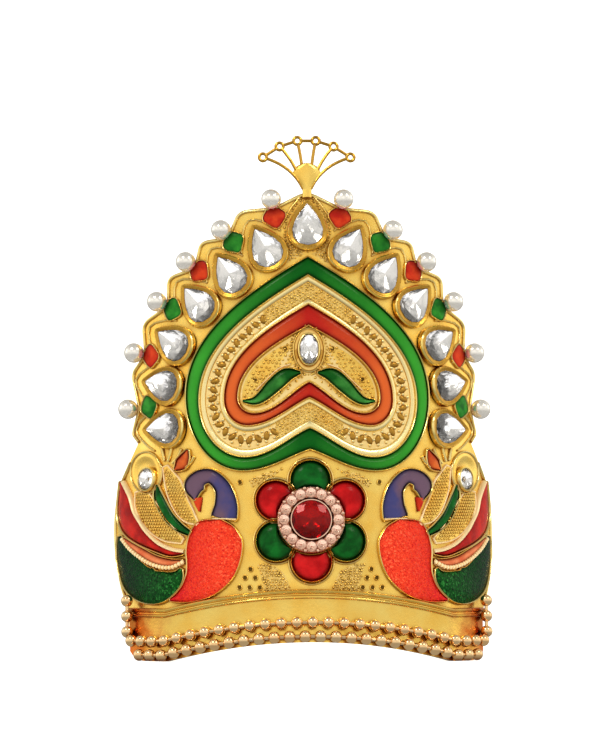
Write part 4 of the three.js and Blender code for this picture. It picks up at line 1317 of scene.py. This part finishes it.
def build_blades():
    for side, word in SIDES:
        wires, feathers, cream = [], [], []
        for name, (look, *rows) in BLADES.items():
            one, other = blade_edges(rows, side)
            fill = ribbon(one, other, FILL_SECTION, False)
            piece(f"{name}_{word}_fill", fill, look, [f"{name}_{word}"])
            wires.append(line(grown(outline_of(one, other), LINE_BEYOND), "cell"))
        beak = ribbon(*blade_edges(BEAK, side), FILL_SECTION, False)
        piece(f"peacock_beak_{word}", beak, "tile_red")
        for rows in FEATHERS:
            one, other = blade_edges(rows, side)
            edge = outline_of(one, other)
            cream.append(line(edge, "feather"))
            feathers.append(ribbon(one, other, BORDER_SECTION, False))
            spots = hex_spots(grown(edge, -FEATHER_EDGE), FEATHER_PITCH)
            feathers.append(strewn(ball(1, "granule"), spots, FEATHER_BEAD, 0.0, FEATHER_RISE))
        eye = oval(EYE_OVAL, side)
        feathers.append(dome(eye, eye.mean(axis=0), EYE_LEVELS))
        wires.append(line(eye, "oval"))
        tail = blade_edges(BLADES["peacock_tail"][1:], side)
        inner_edge = min(tail, key=lambda edge: np.abs(edge[:, 0]).mean())
        cream.append(line(inner_edge, "tail", False))
        lining = blade_edges(BLADES["peacock_lining"][1:], side)
        lower_edge = min(lining, key=lambda edge: edge[:, 1].mean())
        cream.append(line(lower_edge, "lining", False))
        cream.append(strewn(ball(1, "bead"), evenly(lower_edge, ROPE_PITCH), ROPE_BEAD, 0.0, ROPE_RISE))
        strokes = [(NECK_LINE, "neck", cream), (LEAF_LINE, "leaf", cream)]
        strokes += [(rows, "crest", wires) for rows in CREST_LINES]
        for rows, kind, group in strokes:
            path = unrolled(mirrored(smooth_through(rows, BLADE_STEPS), side))
            group.append(line(path, kind, False))
        piece(f"peacock_wires_{word}", joined(wires), "polished")
        piece(f"peacock_feathers_{word}", joined(feathers), "ground")
        piece(f"peacock_cream_lines_{word}", joined(cream), "cream")
    piece("heart_oval_rim", line(oval(HEART_OVAL, 1), "oval"), "polished")


# Flower

# A petal's edge, cut back to where the halo begins
def cut_back(outline, middle, radius):
    from_middle = outline - middle
    reach = np.linalg.norm(from_middle, axis=1, keepdims=True)
    return middle + from_middle * np.maximum(1, radius / reach)


def build_flower():
    place = seat(0, FLOWER_Z, 0)
    girdle = circle(RUBY_RADIUS, RUBY_CORNERS)
    ruby = brilliant(girdle, RUBY_HEIGHTS)
    piece("flower_ruby_cut", placed(ruby, *place), "ruby", ["flower_ruby"], FACETED)
    ring = [collar(circle(RUBY_RADIUS, OUTLINE_STEPS), RUBY_COLLAR),
            collar(circle(HALO_OUTER, OUTLINE_STEPS), HALO_SECTION)]
    chip_edge = circle(CHIP_RADIUS, CHIP_CORNERS)
    chip = brilliant(chip_edge, CHIP_HEIGHTS)
    cup = foil_cup(chip_edge, CHIP_HEIGHTS, CHIP_FOOT)
    chip_places = level(circle(HALO_RING, HALO_STONES), CHIP_RISE)
    stones = [moved(chip, spot) for spot in chip_places]
    foils = [foil_cup(girdle, RUBY_HEIGHTS)] + [moved(cup, spot) for spot in chip_places]
    prong = ball(PRONG_RADIUS, "bead")
    prong_places = level(circle(PRONG_RING, HALO_STONES, math.pi / HALO_STONES), PRONG_RISE)
    ring += [moved(prong, spot) for spot in prong_places]
    piece("flower_halo_ring", placed(joined(ring), *place), "rose", ["flower_halo"])
    piece("flower_halo_stones", placed(joined(stones), *place), "blush_crystal", ["flower_halo"], FACETED)
    piece("flower_foils", placed(joined(foils), *place), "silver_foil")

    wires = []
    for petal in range(PETALS):
        way = math.radians(90 - 360 * petal / PETALS)
        middle = unrolled([PETAL_RING * math.cos(way), FLOWER_Z + PETAL_RING * math.sin(way)])
        edge = cut_back(middle + circle(PETAL_RADIUS, PETAL_STEPS), unrolled([0, FLOWER_Z]), HALO_OUTER)
        look = "petal_red" if petal % 2 else "leaf_green"
        name = f"flower_petal_{petal + 1}"
        piece(name + "_fill", dome(edge, middle, PETAL_LEVELS), look, [name])
        for beyond, kind in ((LINE_BEYOND, "petal"), (PETAL_LINE_BEYOND, "petal_outer")):
            wires.append(line(middle + circle(PETAL_RADIUS + beyond, PETAL_STEPS), kind))
    piece("flower_petal_wires", joined(wires), "polished")


def build_dots():
    pit_shades, rings = [], []
    for x, z in DOTS:
        for side, _ in SIDES:
            middle = unrolled([side * x, z])
            edge = middle + circle(DOT_RADIUS, DOT_STEPS)
            # A low dark disc stands for the shade inside the hole
            pit_shades.append(dome(edge, middle, DOT_LEVELS))
            rings.append(line(edge, "dot"))
    piece("punched_dot_shades", joined(pit_shades), "pit_shade")
    piece("punched_dot_rims", joined(rings), "ground")


# Studio and camera

def stage_mesh(name, shape, look):
    points, faces = shape
    material, _ = LOOKS[look]
    mesh = bpy.data.meshes.new(name)
    mesh.from_pydata(points.tolist(), [], faces)
    mesh.materials.append(material)
    thing = put(name, mesh)
    thing.visible_glossy = False
    return thing


def aimed(name, data, place, way):
    thing = put(name, data)
    thing.location = place
    thing.rotation_euler = way.to_track_quat("-Z", "Y").to_euler()
    return thing


def build_studio():
    disc = level(circle(PAPER_RADIUS, PAPER_SIDES), 0.0), [list(range(PAPER_SIDES))]
    stage_mesh("floor", disc, "pale_paper")
    backdrop = stage_mesh("backdrop", ball(BACKDROP_RADIUS, "backdrop"), "white_backdrop")
    backdrop.visible_diffuse = False
    backdrop.visible_transmission = False
    backdrop.visible_shadow = False

    for name, place, width, height, watts in LAMPS:
        lamp = bpy.data.lights.new(name, "AREA")
        lamp.shape = "RECTANGLE"
        lamp.size = width
        lamp.size_y = height
        lamp.energy = watts
        lamp.color = LAMP_WARMTH
        aimed(name, lamp, place, Vector(LAMP_AIM) - Vector(place))

    world = bpy.data.worlds.new("studio")
    bpy.context.scene.world = world
    world.use_nodes = True
    tree = world.node_tree
    way = add(tree, "ShaderNodeTexCoord").outputs["Generated"]
    axis = add(tree, "ShaderNodeSeparateXYZ", {"Vector": way}).outputs
    overhead = ranged(tree, axis["Z"], *OVERHEAD)
    below = ranged(tree, axis["Z"], *BELOW)
    strength = add(tree, "ShaderNodeMath", {0: overhead, 1: below}, operation="MULTIPLY").outputs["Value"]
    colour = blended(tree, ranged(tree, axis["Y"], *BEHIND), SKY_FRONT, SKY_BEHIND)
    sky = tree.nodes["Background"].inputs
    tree.links.new(colour, sky["Color"])
    tree.links.new(strength, sky["Strength"])
    bpy.context.scene.view_settings.view_transform = "Standard"


def build_camera():
    camera = bpy.data.cameras.new("camera")
    camera.sensor_width = SENSOR
    camera.lens = SENSOR * VIEW_DISTANCE / (FRAME_TALL * SCALE)
    camera.clip_end = FARTHEST
    turn = math.radians(VIEW_AZIMUTH_DEGREES)
    back = Vector((math.sin(turn), -math.cos(turn), 0))
    right = Vector((math.cos(turn), math.sin(turn), 0))
    aim = Vector((0, SHIFT_Y, VIEW_Z)) - VIEW_ASIDE * right
    bpy.context.scene.camera = aimed("camera", camera, (aim + VIEW_DISTANCE * back) * MM, -back)


build_camera()
build_plate()
build_chains()
build_finial()
build_stones()
build_pearls()
build_hearts()
build_heart_row()
build_grounds()
build_blades()
build_flower()
build_dots()
build_studio()
